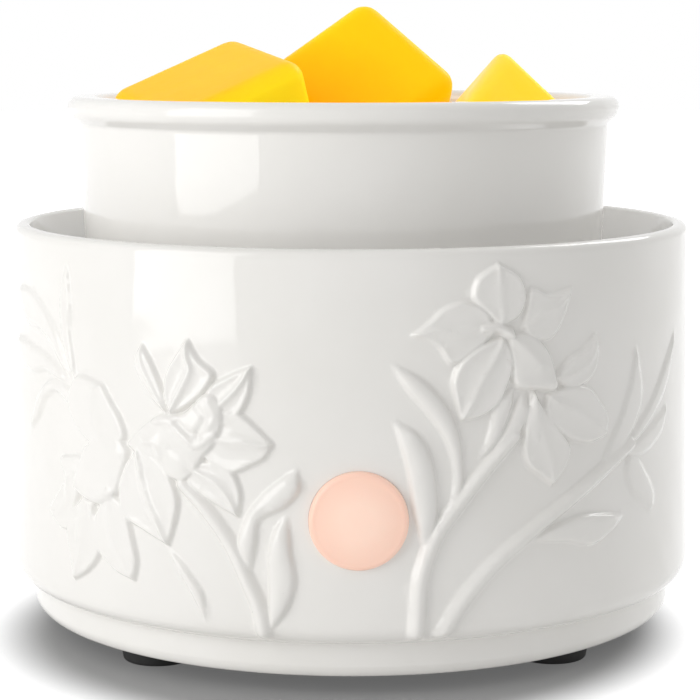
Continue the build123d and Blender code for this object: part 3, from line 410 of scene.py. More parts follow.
fold([(-33.0, 43.5), (-30.4, 41.8), (-29.2, 39.8)], 1.0, -0.3)

# Left spray, lower flower: a cup that hangs down, four petals and an arched leaf
petal(
    (-53.0, 39.5), [(-57.5, 38.9), (-61.2, 37.9), (-59.5, 34.8), (-61.8, 32.0)],
    (-65.4, 28.2), [(-55.4, 32.0), (-58.8, 25.5), (-63.6, 26.5)],
    lift=1.0, cup=0.15, rib=0.1,
)
petal(
    (-53.0, 33.0), [(-56.5, 29.5), (-58.8, 25.5), (-57.9, 21.5)],
    (-56.7, 16.6), [(-50.6, 30.0), (-49.3, 22.8), (-52.3, 19.2)],
    lift=1.05, cup=0.15, rib=0.1,
)
petal(
    (-47.5, 34.0), [(-50.2, 29.5), (-49.3, 22.8), (-45.7, 20.3)],
    (-41.2, 19.0), [(-44.0, 32.5), (-41.4, 26.2), (-40.5, 22.4)],
    lift=1.1, cup=0.15, rib=0.1,
)
petal(
    (-48.5, 41.0), [(-54.5, 43.5), (-58.5, 49.0), (-56.2, 53.3)],
    (-49.0, 52.9), [(-43.2, 44.5), (-44.2, 47.0), (-46.3, 49.6)],
    lift=1.0, cup=0.15, rib=0.1,
)
trumpet(
    (-48.8, 43.0), (-50.0, 32.0),
    [(-53.9, 40.8), (-56.0, 33.4), (-52.7, 31.9), (-49.8, 31.4), (-45.6, 33.2), (-43.4, 38.3),
     (-42.6, 41.8), (-45.2, 44.2), (-50.7, 43.2)],
    lifts=(1.2, 1.8),
)
fold([(-55.2, 34.0), (-52.5, 33.0), (-49.8, 32.6), (-46.2, 34.2)], 0.9, 0.25)
fold([(-53.8, 31.0), (-54.4, 28.0), (-55.0, 24.5)], 0.9, 0.25)
fold([(-51.2, 31.0), (-51.4, 28.5)], 0.7, 0.25)
leaf(
    (-54.5, 44.0), [(-58.2, 50.8), (-63.5, 52.0), (-68.8, 49.8), (-72.4, 46.0)],
    (-75.0, 41.2), [(-59.4, 48.6), (-63.2, 50.0), (-67.2, 48.3), (-70.4, 44.4)],
    lift=0.65, crown=0.1,
)

# Left spray, the leaves at its far end
leaf(
    (-58.2, 52.6), [(-61.5, 58.5), (-66.5, 63.5), (-73.5, 66.8)],
    (-83.4, 67.0), [(-62.6, 56.3), (-65.2, 58.6), (-69.5, 60.5), (-76.0, 61.0)],
    lift=0.65, crown=0.1,
)
leaf(
    (-58.6, 51.6), [(-63.5, 55.0), (-68.5, 56.4), (-75.8, 57.3)],
    (-84.8, 57.6), [(-63.0, 52.6), (-66.8, 53.3), (-73.0, 52.3), (-79.0, 53.3)],
    lift=0.65, crown=0.1,
)
leaf(
    (-56.3, 52.4), [(-59.4, 56.4), (-60.9, 60.4), (-61.6, 66.0)],
    (-59.4, 73.8), [(-57.4, 57.4), (-58.3, 61.0), (-58.2, 66.0)],
    lift=0.7, crown=0.15,
)

# Left spray, the stem with its low leaves
stem(
    [(-16.0, 11.6), (-16.9, 16.3), (-19.2, 21.6), (-22.2, 27.6), (-26.4, 32.9), (-31.0, 37.2)],
    (1.4, 1.2),
    lift=1.35,
)
leaf(
    (-18.6, 22.0), [(-20.6, 27.5), (-19.0, 32.6), (-15.7, 36.8)],
    (-10.4, 41.0), [(-17.5, 28.0), (-17.0, 31.6), (-12.2, 34.6), (-10.0, 37.6)],
    lift=1.35,
)
leaf(
    (-15.2, 12.5), [(-15.2, 21.6), (-15.2, 26.8), (-13.9, 30.8)],
    (-12.2, 32.8), [(-12.2, 16.6), (-10.7, 22.0), (-11.5, 26.5), (-11.8, 30.2)],
    lift=1.35,
)
leaf(
    (-26.6, 13.2), [(-29.6, 18.6), (-32.0, 22.0)],
    (-34.2, 25.8), [(-27.2, 18.2), (-29.8, 21.6)],
    lift=1.1,
)

# The glaze softens the edges, and the relief fades into the belly's lower edge.
FADE_FROM = 10.6
FADE_OVER = 2.2
for axis in (0, 1):
    relief = (np.roll(relief, 1, axis) + 2 * relief + np.roll(relief, -1, axis)) / 4
relief *= ease((wall_z - FADE_FROM) / FADE_OVER)[None, :]

wall_radius = outer_wall[None, :, 0] + relief * wall_out[None, :, 0]
wall_points = np.stack([
    wall_radius * np.sin(wall_angle)[:, None],
    -wall_radius * np.cos(wall_angle)[:, None],
    outer_wall[None, :, 1] + relief * wall_out[None, :, 1],
], axis=2)


def parts_needed(i, j):
    """How many parts a cell needs each way to show the relief in it."""
    columns = np.arange(i * SPLIT, (i + 1) * SPLIT + 1) % len(wall_s)
    cell = relief[columns, j * SPLIT:(j + 1) * SPLIT + 1]
    steps = np.arange(SPLIT + 1)
    if not cell.any():
        return 1
    for parts in (1, 2, 3):
        knots = steps[::SPLIT // parts]
        rough = np.array([np.interp(steps, knots, line[knots]) for line in cell])
        rough = np.array([np.interp(steps, knots, line[knots]) for line in rough.T]).T
        if np.abs(cell - rough).max() < FLAT_ENOUGH:
            return parts
    return SPLIT


parts = np.array([[parts_needed(i, j) for j in range(CELLS_UP)] for i in range(CELLS_ROUND)])
parts[:, RIM_CELLS] = np.maximum(parts[:, RIM_CELLS], RIM_PARTS)
vertex_of = {}
body_points = []
body_faces = []


def wall_vertex(i, j):
    """Number of a lattice point's vertex, made when it is first asked for."""
    key = (i % len(wall_s), j)
    if key not in vertex_of:
        vertex_of[key] = len(body_points)
        body_points.append(tuple(wall_points[key]))
    return vertex_of[key]


def side_points(start, step, length, pace):
    """Lattice points along one side of a face, without its far corner."""
    return [(start[0] + step[0] * k, start[1] + step[1] * k) for k in range(0, length, pace)]


for i in range(CELLS_ROUND):
    for j in range(CELLS_UP):
        count = parts[i, j]
        size = SPLIT // count
        left, right = parts[i - 1, j], parts[(i + 1) % CELLS_ROUND, j]
        under, over = parts[i, max(j - 1, 0)], parts[i, min(j + 1, CELLS_UP - 1)]
        for a in range(count):
            for b in range(count):
                low_i, low_j = i * SPLIT + a * size, j * SPLIT + b * size
                high_i, high_j = low_i + size, low_j + size
                beside = (
                    ((low_i, low_j), (1, 0), under if b == 0 else count),
                    ((high_i, low_j), (0, 1), right if a == count - 1 else count),
                    ((high_i, high_j), (-1, 0), over if b == count - 1 else count),
                    ((low_i, high_j), (0, -1), left if a == 0 else count),
                )
                ring = []
                for start, step, finer in beside:
                    ring += side_points(start, step, size, SPLIT // int(np.lcm(count, finer)))
                body_faces.append([wall_vertex(*c) for c in ring])

inner_profile = rounded([
    (RIM_FLAT, RIM_Z, 0), (RIM_INNER, RIM_Z, RIM_INNER_ROUND), (WELL_RADIUS, FLARE_Z, FLARE_ROUND),
    (WELL_RADIUS, SHELF_TOP, 0), (SHELF_INNER, SHELF_TOP, 0), (SHELF_INNER, SHELF_BOTTOM, 0),
    (CAVITY_TOP_RADIUS, SHELF_UNDER, 0), (CAVITY_RADIUS, SLOPE_TOP, 0), (LEDGE_RADIUS, LEDGE_TOP, 0),
    (LEDGE_RADIUS, BASE_TOP, 0), (RABBET_RADIUS, BASE_TOP, 0), (RABBET_RADIUS, RING_BOTTOM, 0),
    (RING_RADIUS, RING_BOTTOM, RING_ROUND), (RING_RADIUS, STEP_Z, 0),
])[1:-1]
top_row = [wall_vertex(i * SPLIT, CELLS_UP * SPLIT) for i in range(CELLS_ROUND)]
low_row = [wall_vertex(i * SPLIT, 0) for i in range(CELLS_ROUND)]
rows = [top_row]
for r, z in inner_profile:
    start = len(body_points)
    body_points += [(r * sin(a), -r * cos(a), z) for a in wall_angle[::SPLIT]]
    rows.append(list(range(start, start + CELLS_ROUND)))
rows.append(low_row)
for lower, upper in zip(rows[:-1], rows[1:]):
    for i in range(CELLS_ROUND):
        n = (i + 1) % CELLS_ROUND
        body_faces.append([lower[i], lower[n], upper[n], upper[i]])

SOFT_EDGE = radians(60)
TURNED_EDGE = radians(40)
ON_AXIS = 1e-6


def new_piece(name, points, faces, sharp=SOFT_EDGE):
    """A smooth-shaded mesh object from points in millimetres, with edges kept sharp past an angle."""
    mesh = bpy.data.meshes.new(name)
    mesh.from_pydata(np.array(points) * mm, [], faces)
    mesh.shade_smooth()
    mesh.set_sharp_from_angle(angle=sharp)
    piece = bpy.data.objects.new(name, mesh)
    bpy.context.scene.collection.objects.link(piece)
    return piece


def lathe(name, profile, around, centre=(0, 0)):
    """A turned piece from a profile of (radius, height) that starts and ends on the axis or closes."""
    points = []
    rings = []
    for r, z in profile:
        if r < ON_AXIS:
            rings.append([len(points)] * around)
            points.append((centre[0], centre[1], z))
            continue
        rings.append(list(range(len(points), len(points) + around)))
        turns = [2 * pi * k / around for k in range(around)]
        points += [(centre[0] + r * cos(a), centre[1] + r * sin(a), z) for a in turns]
    faces = []
    for lower, upper in zip(rings[:-1], rings[1:]):
        for k in range(around):
            n = (k + 1) % around
            face = dict.fromkeys((lower[k], lower[n], upper[n], upper[k]))
            faces.append(list(face))
    return new_piece(name, points, faces, TURNED_EDGE)


def cut(piece, tool):
    """Cuts a tool's shape out of a piece and drops the tool."""
    bore = piece.modifiers.new("bore", "BOOLEAN")
    bore.operation = "DIFFERENCE"
    bore.solver = "EXACT"
    bore.object = tool
    depsgraph = bpy.context.evaluated_depsgraph_get()
    mesh = bpy.data.meshes.new_from_object(piece.evaluated_get(depsgraph))
    piece.modifiers.clear()
    piece.data = mesh
    bpy.data.objects.remove(tool)


# The window's and the cord grommet's seats and bores are cut through the wall.
LENS_Z = 32.1
LENS_SEAT = 64.8
LENS_SEAT_RADIUS = 8.55
LENS_BORE = 6.25
INLET_Z = 28.0
INLET_SEAT = 64.98
INLET_SEAT_RADIUS = 8.25
INLET_BORE = 5.7
CUT_FROM = 50.0
CUT_TO = 72.0
CUT_AROUND = 96
housing = new_piece("ceramic_housing", body_points, body_faces)
for name, height, seat, seat_radius, bore_radius, turn in (
    ("window_bore", LENS_Z, LENS_SEAT, LENS_SEAT_RADIUS, LENS_BORE, pi / 2),
    ("cord_bore", INLET_Z, INLET_SEAT, INLET_SEAT_RADIUS, INLET_BORE, -pi / 2),
):
    tool = lathe(name, [
        (0, CUT_FROM), (bore_radius, CUT_FROM), (bore_radius, seat),
        (seat_radius, seat), (seat_radius, CUT_TO), (0, CUT_TO),
    ], CUT_AROUND)
    tool.rotation_euler = (turn, 0, 0)
    tool.location = (0, 0, height * mm)
    bpy.context.view_layer.update()
    cut(housing, tool)
housing.data.set_sharp_from_angle(angle=SOFT_EDGE)

# A mottled finish goes from its shade to its paler tone between these two levels of its noise.
MOTTLE = (0.3, 0.7)


class Nodes:
    """A new material's nodes, placed and joined in a few words."""

    def __init__(self, name):
        self.material = bpy.data.materials.new(name)
        self.material.use_nodes = True
        self.tree = self.material.node_tree
        self.shader = self.tree.nodes["Principled BSDF"]

    def add(self, kind, inputs=(), **settings):
        node = self.tree.nodes.new(kind)
        for key, value in settings.items():
            setattr(node, key, value)
        for key, value in dict(inputs).items():
            node.inputs[key].default_value = value
        return node

    def join(self, source, target):
        self.tree.links.new(source, target)

    def set(self, **values):
        for key, value in values.items():
            self.shader.inputs[key.replace("_", " ")].default_value = value

    def noise(self, scale, detail=3.0):
        where = self.add("ShaderNodeTexCoord")
        grain = self.add("ShaderNodeTexNoise", {"Scale": scale, "Detail": detail})
        self.join(where.outputs["Object"], grain.inputs["Vector"])
        return grain.outputs["Fac"]

    def ramp(self, factor, *stops):
        node = self.add("ShaderNodeValToRGB")
        while len(node.color_ramp.elements) < len(stops):
            node.color_ramp.elements.new(0.5)
        for element, (place, colour) in zip(node.color_ramp.elements, stops):
            element.position = place
            element.color = (*colour, 1)
        self.join(factor, node.inputs["Fac"])
        return node.outputs["Color"]

    def mottle(self, factor, shade, pale):
        colour = self.ramp(factor, (MOTTLE[0], shade), (MOTTLE[1], pale))
        self.join(colour, self.shader.inputs["Base Color"])

    def bump(self, height, distance, strength=1.0):
        node = self.add("ShaderNodeBump", {"Distance": distance, "Strength": strength})
        self.join(height, node.inputs["Height"])
        self.join(node.outputs["Normal"], self.shader.inputs["Normal"])


GLAZE_IOR = 1.46
GLAZE_CLOUDS = 38.0
GLAZE_RIPPLES = 70.0
GLAZE_RIPPLE_DEPTH = 0.00025


def glaze_material(name, pale, shade, roughness):
    """White gloss glaze over a cast body: soft ripples and faint clouding."""
    glaze = Nodes(name)
    glaze.set(Roughness=roughness, IOR=GLAZE_IOR)
    glaze.mottle(glaze.noise(GLAZE_CLOUDS, detail=4.0), shade, pale)
    glaze.bump(glaze.noise(GLAZE_RIPPLES, detail=1.0), GLAZE_RIPPLE_DEPTH)
    return glaze.material


# A glaze is its pale tone, its shade and its roughness. The inside of the well gets a paler copy of
# the white glaze as painted light, to make up for part of the dish's shade there.
WHITE_GLAZE = ((0.83, 0.815, 0.785), (0.80, 0.785, 0.75), 0.06)
WELL_PAINTED_LIGHT_GLAZE = ((0.93, 0.92, 0.90), (0.91, 0.90, 0.875), 0.06)
WELL_EDGE = 62.6
housing.data.materials.append(glaze_material("white_glaze", *WHITE_GLAZE))
housing.data.materials.append(glaze_material("well_glaze_painted_light", *WELL_PAINTED_LIGHT_GLAZE))
# Painted light: the faces inside the well, above the shelf, take the paler copy of the glaze.
for face in housing.data.polygons:
    if face.center.z > SHELF_TOP * mm and face.center.xy.length < WELL_EDGE * mm:
        face.material_index = 1
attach(housing, "housing")
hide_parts("ceramic_body")

# Indicator window: a moulded peach lens with a low dome, snapped through the wall on a hollow
# stem. A small lamp sits behind it, and the lens's glow is painted light: an emission in the lens itself.
LENS_RADIUS = 8.5
LENS_DOME = 0.9
LENS_ROUND = 0.95
LENS_FLAT = 7.4
LENS_BACK = 65.4
LENS_FRONT = 66.77
STEM_RADIUS = 6.0
STEM_BORE = 4.6
STEM_LENGTH = 11.0
LENS_POINTS = 14
LENS_AROUND = 128
# The lens's colour is paler out to a radius than at its edge: a painted glow of the lamp behind it.
PEACH_GLOWING_MIDDLE = (0.86, 0.60, 0.48)
PEACH_EDGE = (0.80, 0.50, 0.385)
PEACH_PAINTED_GLOW = (1.0, 0.82, 0.72, 1)
PEACH_PAINTED_GLOW_STRENGTH = 0.22
PEACH_DEPTH = (0.004, 0.002, 0.0015)
PEACH_GLOW_RADIUS = 3.0
PEACH_GRAIN = 170.0
PEACH_GRAIN_SHARE = 0.25
dome_radius = (LENS_RADIUS**2 + LENS_DOME**2) / (2 * LENS_DOME)
dome_angle = asin(LENS_FLAT / dome_radius)
dome_centre = LENS_FRONT + LENS_DOME - dome_radius
slopes = np.linspace(dome_angle, 0, LENS_POINTS)
dome = [(dome_radius * sin(a), dome_centre + dome_radius * cos(a)) for a in slopes]
lens_edge = rounded([(LENS_RADIUS, LENS_BACK, 0), (LENS_RADIUS, dome[0][1], LENS_ROUND), (*dome[0], 0)])
stem_end = LENS_BACK - STEM_LENGTH
lens_profile = [
    (0, LENS_BACK), (STEM_BORE, LENS_BACK), (STEM_BORE, stem_end), (STEM_RADIUS, stem_end),
    (STEM_RADIUS, LENS_BACK), (LENS_RADIUS, LENS_BACK), *map(tuple, lens_edge[1:-1]), *dome,
]
lens = lathe("window_lens", lens_profile, LENS_AROUND)
lens.data.transform(Matrix.Translation((0, 0, LENS_Z * mm)) @ Matrix.Rotation(pi / 2, 4, "X"))
peach = Nodes("peach_lens")
peach.set(Roughness=0.35, IOR=1.49, Subsurface_Weight=0.35, Subsurface_Radius=PEACH_DEPTH)
# Painted light: the lens glows by its own emission, standing for the lamp's light through it.
peach.set(Emission_Color=PEACH_PAINTED_GLOW, Emission_Strength=PEACH_PAINTED_GLOW_STRENGTH)
# Painted glow: the base colour goes from the pale middle to the deeper edge with the distance from the
# lens's centre.
where = peach.add("ShaderNodeTexCoord")
from_middle = peach.add("ShaderNodeVectorMath", {1: (0, 0, LENS_Z * mm)}, operation="SUBTRACT")
peach.join(where.outputs["Object"], from_middle.inputs[0])
flat = peach.add("ShaderNodeVectorMath", {1: (1, 0, 1)}, operation="MULTIPLY")
peach.join(from_middle.outputs["Vector"], flat.inputs[0])
radius = peach.add("ShaderNodeVectorMath", operation="LENGTH")
peach.join(flat.outputs["Vector"], radius.inputs[0])
share = peach.add("ShaderNodeMapRange", {"From Min": PEACH_GLOW_RADIUS * mm, "From Max": LENS_RADIUS * mm})
peach.join(radius.outputs["Value"], share.inputs["Value"])
grained = peach.add("ShaderNodeMath", {1: PEACH_GRAIN_SHARE}, operation="MULTIPLY_ADD")
peach.join(peach.noise(PEACH_GRAIN), grained.inputs[0])
peach.join(share.outputs["Result"], grained.inputs[2])
peach_colour = peach.ramp(grained.outputs[0], (0.1, PEACH_GLOWING_MIDDLE), (1.0, PEACH_EDGE))
peach.join(peach_colour, peach.shader.inputs["Base Color"])
lens.data.materials.append(peach.material)
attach(lens, "housing")
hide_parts("indicator_lens")

# Hot plate and the metal pieces of the heater: cast and turned aluminium, zinc plated steel and
# brass, screwed together under the well. The plate's pad shows when the dish is lifted out.
METAL_CLOUDS = 90.0
TURNED_RINGS = 260.0
TURNED_WANDER = 0.3
TURNED_DEPTH = 0.00008
TURNED_STRENGTH = 0.6


def metal_material(name, pale, shade, roughness, rings=0.0):
    """Bare metal with faint clouding, and with turned rings where asked."""
    metal = Nodes(name)
    metal.set(Metallic=1.0, Roughness=roughness)
    metal.mottle(metal.noise(METAL_CLOUDS, detail=6.0), shade, pale)
    if rings:
        where = metal.add("ShaderNodeTexCoord")
        lines = metal.add("ShaderNodeTexWave", {"Scale": rings, "Distortion": TURNED_WANDER, "Detail": 2.0},
                          wave_type="RINGS", rings_direction="Z")
        metal.join(where.outputs["Object"], lines.inputs["Vector"])
        metal.bump(lines.outputs["Fac"], TURNED_DEPTH, TURNED_STRENGTH)
    return metal.material


turned_aluminium = metal_material(
    "turned_aluminium", (0.62, 0.62, 0.63), (0.54, 0.54, 0.55), 0.34, rings=TURNED_RINGS)
zinc_steel = metal_material("zinc_steel", (0.60, 0.61, 0.62), (0.48, 0.49, 0.50), 0.36)
brass = metal_material("tinned_brass", (0.72, 0.56, 0.27), (0.60, 0.45, 0.20), 0.32)


def finish(material, *nodes):
    """Gives CAD nodes, whose shape is right as it is, their finish."""
    for node in nodes:
        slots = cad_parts[node].data.materials
        slots.clear()
        slots.append(material)


finish(turned_aluminium, "hot_plate", "heat_shield")
finish(zinc_steel, "clamp_plate", "stud_nuts", "stud_spacer", "fuse_clip", "clip_screws",
       "tie_screws", "block_screw", "thermal_fuse")
finish(brass, "element_tabs", "spade_receptacles", "terminal_screws")

# Moulded, rubber and insulating pieces: the base plate and feet that show below, and the seals,
# wires and insulators inside. The lamp is a small glass bulb behind the window.
SKIN_GRAIN = 400.0
SKIN_CLOUDS = SKIN_GRAIN / 6
SKIN_DEPTH = 0.00005
LAMP_GRAIN = 300.0
LAMP_PALE = (1.0, 0.60, 0.36)
LAMP_SHADE = (1.0, 0.50, 0.26)
LAMP_GLOW = (1.0, 0.5, 0.25, 1)


def moulded_material(name, pale, shade, roughness):
    """Moulded plastic, rubber or board: a fine skin grain and faint mottling."""
    skin = Nodes(name)
    skin.set(Roughness=roughness)
    skin.mottle(skin.noise(SKIN_CLOUDS, detail=5.0), shade, pale)
    skin.bump(skin.noise(SKIN_GRAIN, detail=2.0), SKIN_DEPTH)
    return skin.material


for name, pale, shade, roughness, nodes in (
    ("black_rubber", (0.020, 0.020, 0.020), (0.012, 0.012, 0.012), 0.55, ("rubber_feet", "cord_grommet")),
    ("black_plastic", (0.030, 0.030, 0.032), (0.022, 0.022, 0.024), 0.45, ("base_plate", "lens_retainer")),
    ("white_plastic", (0.80, 0.79, 0.75), (0.74, 0.73, 0.69), 0.4, ("terminal_block", "lamp_holder")),
    ("grey_silicone", (0.46, 0.45, 0.43), (0.40, 0.39, 0.37), 0.5, ("plate_gasket", "lens_gasket")),
    ("element_card", (0.42, 0.36, 0.28), (0.34, 0.29, 0.22), 0.6, ("heating_element",)),
    ("mica_sheet", (0.58, 0.50, 0.38), (0.48, 0.41, 0.30), 0.4, ("mica_sheets",)),
    ("brown_lead", (0.20, 0.085, 0.035), (0.16, 0.065, 0.026), 0.4, ("live_lead", "element_lead")),
    ("blue_lead", (0.05, 0.13, 0.40), (0.04, 0.10, 0.34), 0.4, ("neutral_lead",)),
    ("white_lead", (0.75, 0.75, 0.72), (0.68, 0.68, 0.65), 0.4, ("lamp_leads",)),
):
    finish(moulded_material(name, pale, shade, roughness), *nodes)
lamp = Nodes("indicator_lamp")
lamp.set(Roughness=0.1, Transmission_Weight=0.6, Emission_Color=LAMP_GLOW, Emission_Strength=0.8)
lamp.mottle(lamp.noise(LAMP_GRAIN), LAMP_SHADE, LAMP_PALE)
finish(lamp.material, "indicator_lamp")

# Wax dish: a thick cast bowl in the same glaze, written a little paler as painted light, with a rolled
# bead round its rim. It only stands on the hot plate, a little left of the middle, and lifts out.
DISH_X = -1.5
DISH_BOTTOM = 69.9
DISH_FOOT = 50.2
DISH_FOOT_ROUND = 5.0
DISH_RADIUS = 51.2
BEAD_ROOT = 96.7
BEAD_ROOT_ROUND = 1.2
BEAD_RADIUS = 53.2
BEAD_BOTTOM = 98.6
BEAD_BOTTOM_ROUND = 2.4
BEAD_ROUND = 1.9
DISH_RIM = 101.9
DISH_INNER = 46.9
DISH_WELL = 45.9
DISH_WELL_ROUND = 6.0
DISH_FLOOR = 75.8
DISH_AROUND = 256
# Painted light: the dish's glaze is a slightly paler copy of the housing's white glaze.
DISH_GLAZE = ((0.85, 0.835, 0.805), (0.83, 0.815, 0.78), 0.05)
dish_profile = rounded([
    (0, DISH_BOTTOM, 0), (DISH_FOOT, DISH_BOTTOM, DISH_FOOT_ROUND),
    (DISH_RADIUS, BEAD_ROOT, BEAD_ROOT_ROUND), (BEAD_RADIUS, BEAD_BOTTOM, BEAD_BOTTOM_ROUND),
    (BEAD_RADIUS, DISH_RIM, BEAD_ROUND), (DISH_INNER, DISH_RIM, BEAD_ROUND),
    (DISH_WELL, DISH_FLOOR, DISH_WELL_ROUND), (0, DISH_FLOOR, 0),
])
dish = lathe("glazed_dish", dish_profile, DISH_AROUND, centre=(DISH_X, 0))
dish.data.materials.append(glaze_material("dish_glaze", *DISH_GLAZE))
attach(dish, "dish")
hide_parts("wax_dish")

# Wax melts: blocks of dyed wax snapped off a moulded bar. They are a little translucent, with
# softly rounded edges, and lean on each other in the dish.
VOXEL = 0.6
SOFTEN = 0.5
SOFTEN_TIMES = 4
# Painted light: the wax glows by an emission in its own colours, standing for light that comes through it.
WAX_PAINTED_GLOW = 0.3
WAX_DEPTH = (1.0, 0.55, 0.08)
WAX_DEPTH_SCALE = 0.005
WAX_CLOUDS = 60.0
WAX_CLOUD_SHARE = 0.4
WAX_GRAIN = 160.0
WAX_GRAIN_DEPTH = 0.00012

# A block's colour turns with the way its faces look, or from low to high in metres: painted light and
# shade.
FACE_SHADING_SPAN = (-0.73, 0.73)
HEIGHT_SHADING_SPAN = (0.081, 0.100)


def wax_material(name, by, way, span, first, second):
    """Dyed wax that light goes into, with a painted glow: its colour turns from one tone into another along
    a way as painted light and shade, clouded by the dye.
    """
    wax = Nodes(name)
    wax.set(Roughness=0.4, IOR=1.44, Specular_IOR_Level=0.12, Emission_Strength=WAX_PAINTED_GLOW)
    wax.set(Subsurface_Weight=0.7, Subsurface_Radius=WAX_DEPTH, Subsurface_Scale=WAX_DEPTH_SCALE)
    along = wax.add("ShaderNodeVectorMath", {1: way}, operation="DOT_PRODUCT")
    wax.join(wax.add("ShaderNodeTexCoord").outputs[by], along.inputs[0])
    rise = wax.add("ShaderNodeMapRange", {"From Min": span[0], "From Max": span[1]})
    wax.join(along.outputs["Value"], rise.inputs["Value"])
    clouded = wax.add("ShaderNodeMath", {1: WAX_CLOUD_SHARE}, operation="MULTIPLY_ADD")
    wax.join(wax.noise(WAX_CLOUDS), clouded.inputs[0])
    wax.join(rise.outputs["Result"], clouded.inputs[2])
    colour = wax.ramp(clouded.outputs[0], (0.2, first), (1.0, second))
    wax.join(colour, wax.shader.inputs["Base Color"])
    # Painted glow: the same colours go into the emission.
    wax.join(colour, wax.shader.inputs["Emission Color"])
    wax.bump(wax.noise(WAX_GRAIN), WAX_GRAIN_DEPTH)
    return wax.material


# Each block's two colours are painted light and shade, turned by its faces' way or by its height.
for side, by, way, span, first, second in (
    ("left", "Normal", (0.52, -0.36, -0.78), FACE_SHADING_SPAN, (1.0, 0.465, 0.008), (1.0, 0.75, 0.014)),
    ("middle", "Object", (0.5, 0.0, 0.85), HEIGHT_SHADING_SPAN, (1.0, 0.44, 0.0), (1.0, 0.56, 0.002)),
    ("right", "Normal", (-0.89, 0.45, 0.05), FACE_SHADING_SPAN, (1.0, 0.68, 0.012), (1.0, 0.59, 0.12)),
):
    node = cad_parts["wax_melt_" + side]
    melt = bpy.data.objects.new("wax_block_" + side, node.data.copy())
    bpy.context.scene.collection.objects.link(melt)
    remesh = melt.modifiers.new("remesh", "REMESH")
    remesh.mode = "VOXEL"
    remesh.voxel_size = VOXEL * mm
    soften = melt.modifiers.new("soften", "SMOOTH")
    soften.factor = SOFTEN
    soften.iterations = SOFTEN_TIMES
    bpy.context.view_layer.update()
    softened = melt.evaluated_get(bpy.context.evaluated_depsgraph_get())
    melt.data = bpy.data.meshes.new_from_object(softened)
    melt.modifiers.clear()
    melt.data.shade_smooth()
    melt.data.materials.clear()
    melt.data.materials.append(wax_material("yellow_wax_" + side, by, way, span, first, second))
    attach(melt, "wax")
    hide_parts("wax_melt_" + side)

# Table and backdrop: a white board under the warmer and a white room round it. Both look white
# to the camera and in the glaze, and a soft shadow is painted on the board under and round the warmer.
TABLE_HALF = 3.0
BOARD_WHITE = 0.92
SHADOW_MIDDLE = (-0.0025, -0.012)
SHADOW_HALF = (0.0645, 0.066)
SHADOW_GREY = 0.18
SHADOW_LIFT = 0.12
SHADOW_FADE = (0.85, 1.12)
ROOM_LOW = 0.38
ROOM_HIGH = 0.76


def seen_directly(tree):
    """1 for the camera's rays and those of gloss and clear pieces, 0 for the light that bounces."""
    path = tree.nodes.new("ShaderNodeLightPath")
    seen = path.outputs["Is Camera Ray"]
    for ray in ("Is Glossy Ray", "Is Transmission Ray"):
        either = tree.nodes.new("ShaderNodeMath")
        either.operation = "MAXIMUM"
        tree.links.new(seen, either.inputs[0])
        tree.links.new(path.outputs[ray], either.inputs[1])
        seen = either.outputs["Value"]
    return seen


table_mesh = bpy.data.meshes.new("table")
table_corners = [(x * TABLE_HALF, y * TABLE_HALF, 0) for x, y in ((-1, -1), (1, -1), (1, 1), (-1, 1))]
table_mesh.from_pydata(table_corners, [], [(0, 1, 2, 3)])
table = bpy.data.objects.new("table", table_mesh)
bpy.context.scene.collection.objects.link(table)
board = Nodes("white_board")
board.set(Roughness=0.6, Emission_Color=(1, 1, 1, 1))
place = board.add("ShaderNodeTexCoord")
from_middle = board.add("ShaderNodeVectorMath", {1: (*SHADOW_MIDDLE, 0)}, operation="SUBTRACT")
board.join(place.outputs["Object"], from_middle.inputs[0])
in_halves = board.add("ShaderNodeVectorMath", {1: (*SHADOW_HALF, 1)}, operation="DIVIDE")
board.join(from_middle.outputs["Vector"], in_halves.inputs[0])
reach = board.add("ShaderNodeVectorMath", operation="LENGTH")
board.join(in_halves.outputs["Vector"], reach.inputs[0])
fade = board.add("ShaderNodeMapRange", {
    "From Min": SHADOW_FADE[0], "From Max": SHADOW_FADE[1], "To Min": SHADOW_LIFT,
}, interpolation_type="SMOOTHSTEP")
board.join(reach.outputs["Value"], fade.inputs["Value"])
seen = seen_directly(board.tree)
glow = board.add("ShaderNodeMath", operation="MULTIPLY")
board.join(fade.outputs["Result"], glow.inputs[0])
board.join(seen, glow.inputs[1])
board.join(glow.outputs[0], board.shader.inputs["Emission Strength"])
# Painted shadow: to the camera and in the glaze the board is dark grey, and only the glow outside the
# ellipse makes it white.
dark = board.add("ShaderNodeMix", {
    "A": (BOARD_WHITE,) * 3 + (1,), "B": (SHADOW_GREY,) * 3 + (1,),
}, data_type="RGBA")
board.join(seen, dark.inputs["Factor"])
board.join(dark.outputs["Result"], board.shader.inputs["Base Color"])
table.data.materials.append(board.material)

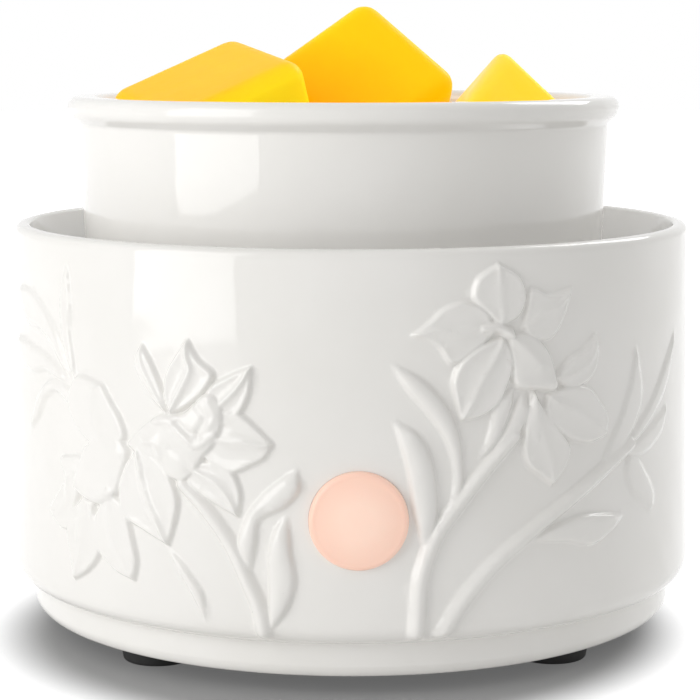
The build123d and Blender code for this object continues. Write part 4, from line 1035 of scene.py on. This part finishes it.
world = bpy.data.worlds.new("white_room")
bpy.context.scene.world = world
world.use_nodes = True
room = world.node_tree
way = room.nodes.new("ShaderNodeSeparateXYZ")
room.links.new(room.nodes.new("ShaderNodeTexCoord").outputs["Generated"], way.inputs[0])
ceiling = room.nodes.new("ShaderNodeMapRange")
ceiling.inputs["To Min"].default_value = ROOM_LOW
ceiling.inputs["To Max"].default_value = ROOM_HIGH
room.links.new(way.outputs["Z"], ceiling.inputs["Value"])
strength = room.nodes.new("ShaderNodeMapRange")
room.links.new(seen_directly(room), strength.inputs["Value"])
room.links.new(ceiling.outputs["Result"], strength.inputs["To Min"])
room.nodes["Background"].inputs["Color"].default_value = (1, 1, 1, 1)
room.links.new(strength.outputs["Result"], room.nodes["Background"].inputs["Strength"])

# Light: a tall soft panel in front on the left that mirrors in the glaze, a weak one low on the right
# to lift the shaded side, and a high one behind for the bright line along the rim.


def panel(name, place, target, size, watts, mirrored):
    """A rectangular soft light turned to a target, mirrored in gloss pieces or not."""
    light = bpy.data.lights.new(name, "AREA")
    light.shape = "RECTANGLE"
    light.size, light.size_y = size
    light.energy = watts
    holder = bpy.data.objects.new(name, light)
    holder.location = place
    holder.rotation_euler = (Vector(target) - holder.location).to_track_quat("-Z", "Y").to_euler()
    holder.visible_glossy = mirrored
    bpy.context.scene.collection.objects.link(holder)


panel("left_panel", place=(-0.49, -0.35, 0.30), target=(0, 0, 0.30),
      size=(0.40, 0.59), watts=2.12, mirrored=True)
panel("right_panel", place=(0.45, 0.28, 0.16), target=(0, 0, 0.06),
      size=(0.30, 0.30), watts=0.35, mirrored=False)
panel("back_panel", place=(0.38, 0.36, 0.50), target=(0, 0, 0.06),
      size=(0.30, 0.30), watts=1.1, mirrored=True)

# Camera at the photograph's place: a long lens a little above the rim, looking slightly down, and
# turned a little to one side.
CAMERA_DISTANCE = 0.425
CAMERA_HEIGHT = 0.11264
CAMERA_SIDE = radians(1.06)
CAMERA_PITCH = 0.142
CAMERA_SLIP = 0.00025
SENSOR_WIDTH = 36.0
FOCAL_LENGTH = 111.74
NEAREST = 0.01
camera = bpy.data.objects.new("camera", bpy.data.cameras.new("camera"))
camera.data.sensor_width = SENSOR_WIDTH
camera.data.lens = FOCAL_LENGTH
camera.data.clip_start = NEAREST
camera_x = -CAMERA_DISTANCE * sin(CAMERA_SIDE) - CAMERA_SLIP
camera.location = (camera_x, -CAMERA_DISTANCE * cos(CAMERA_SIDE), CAMERA_HEIGHT)
camera.rotation_euler = (pi / 2 - CAMERA_PITCH, 0, -CAMERA_SIDE)
bpy.context.scene.collection.objects.link(camera)
bpy.context.scene.camera = camera
bpy.context.scene.view_settings.view_transform = "Standard"
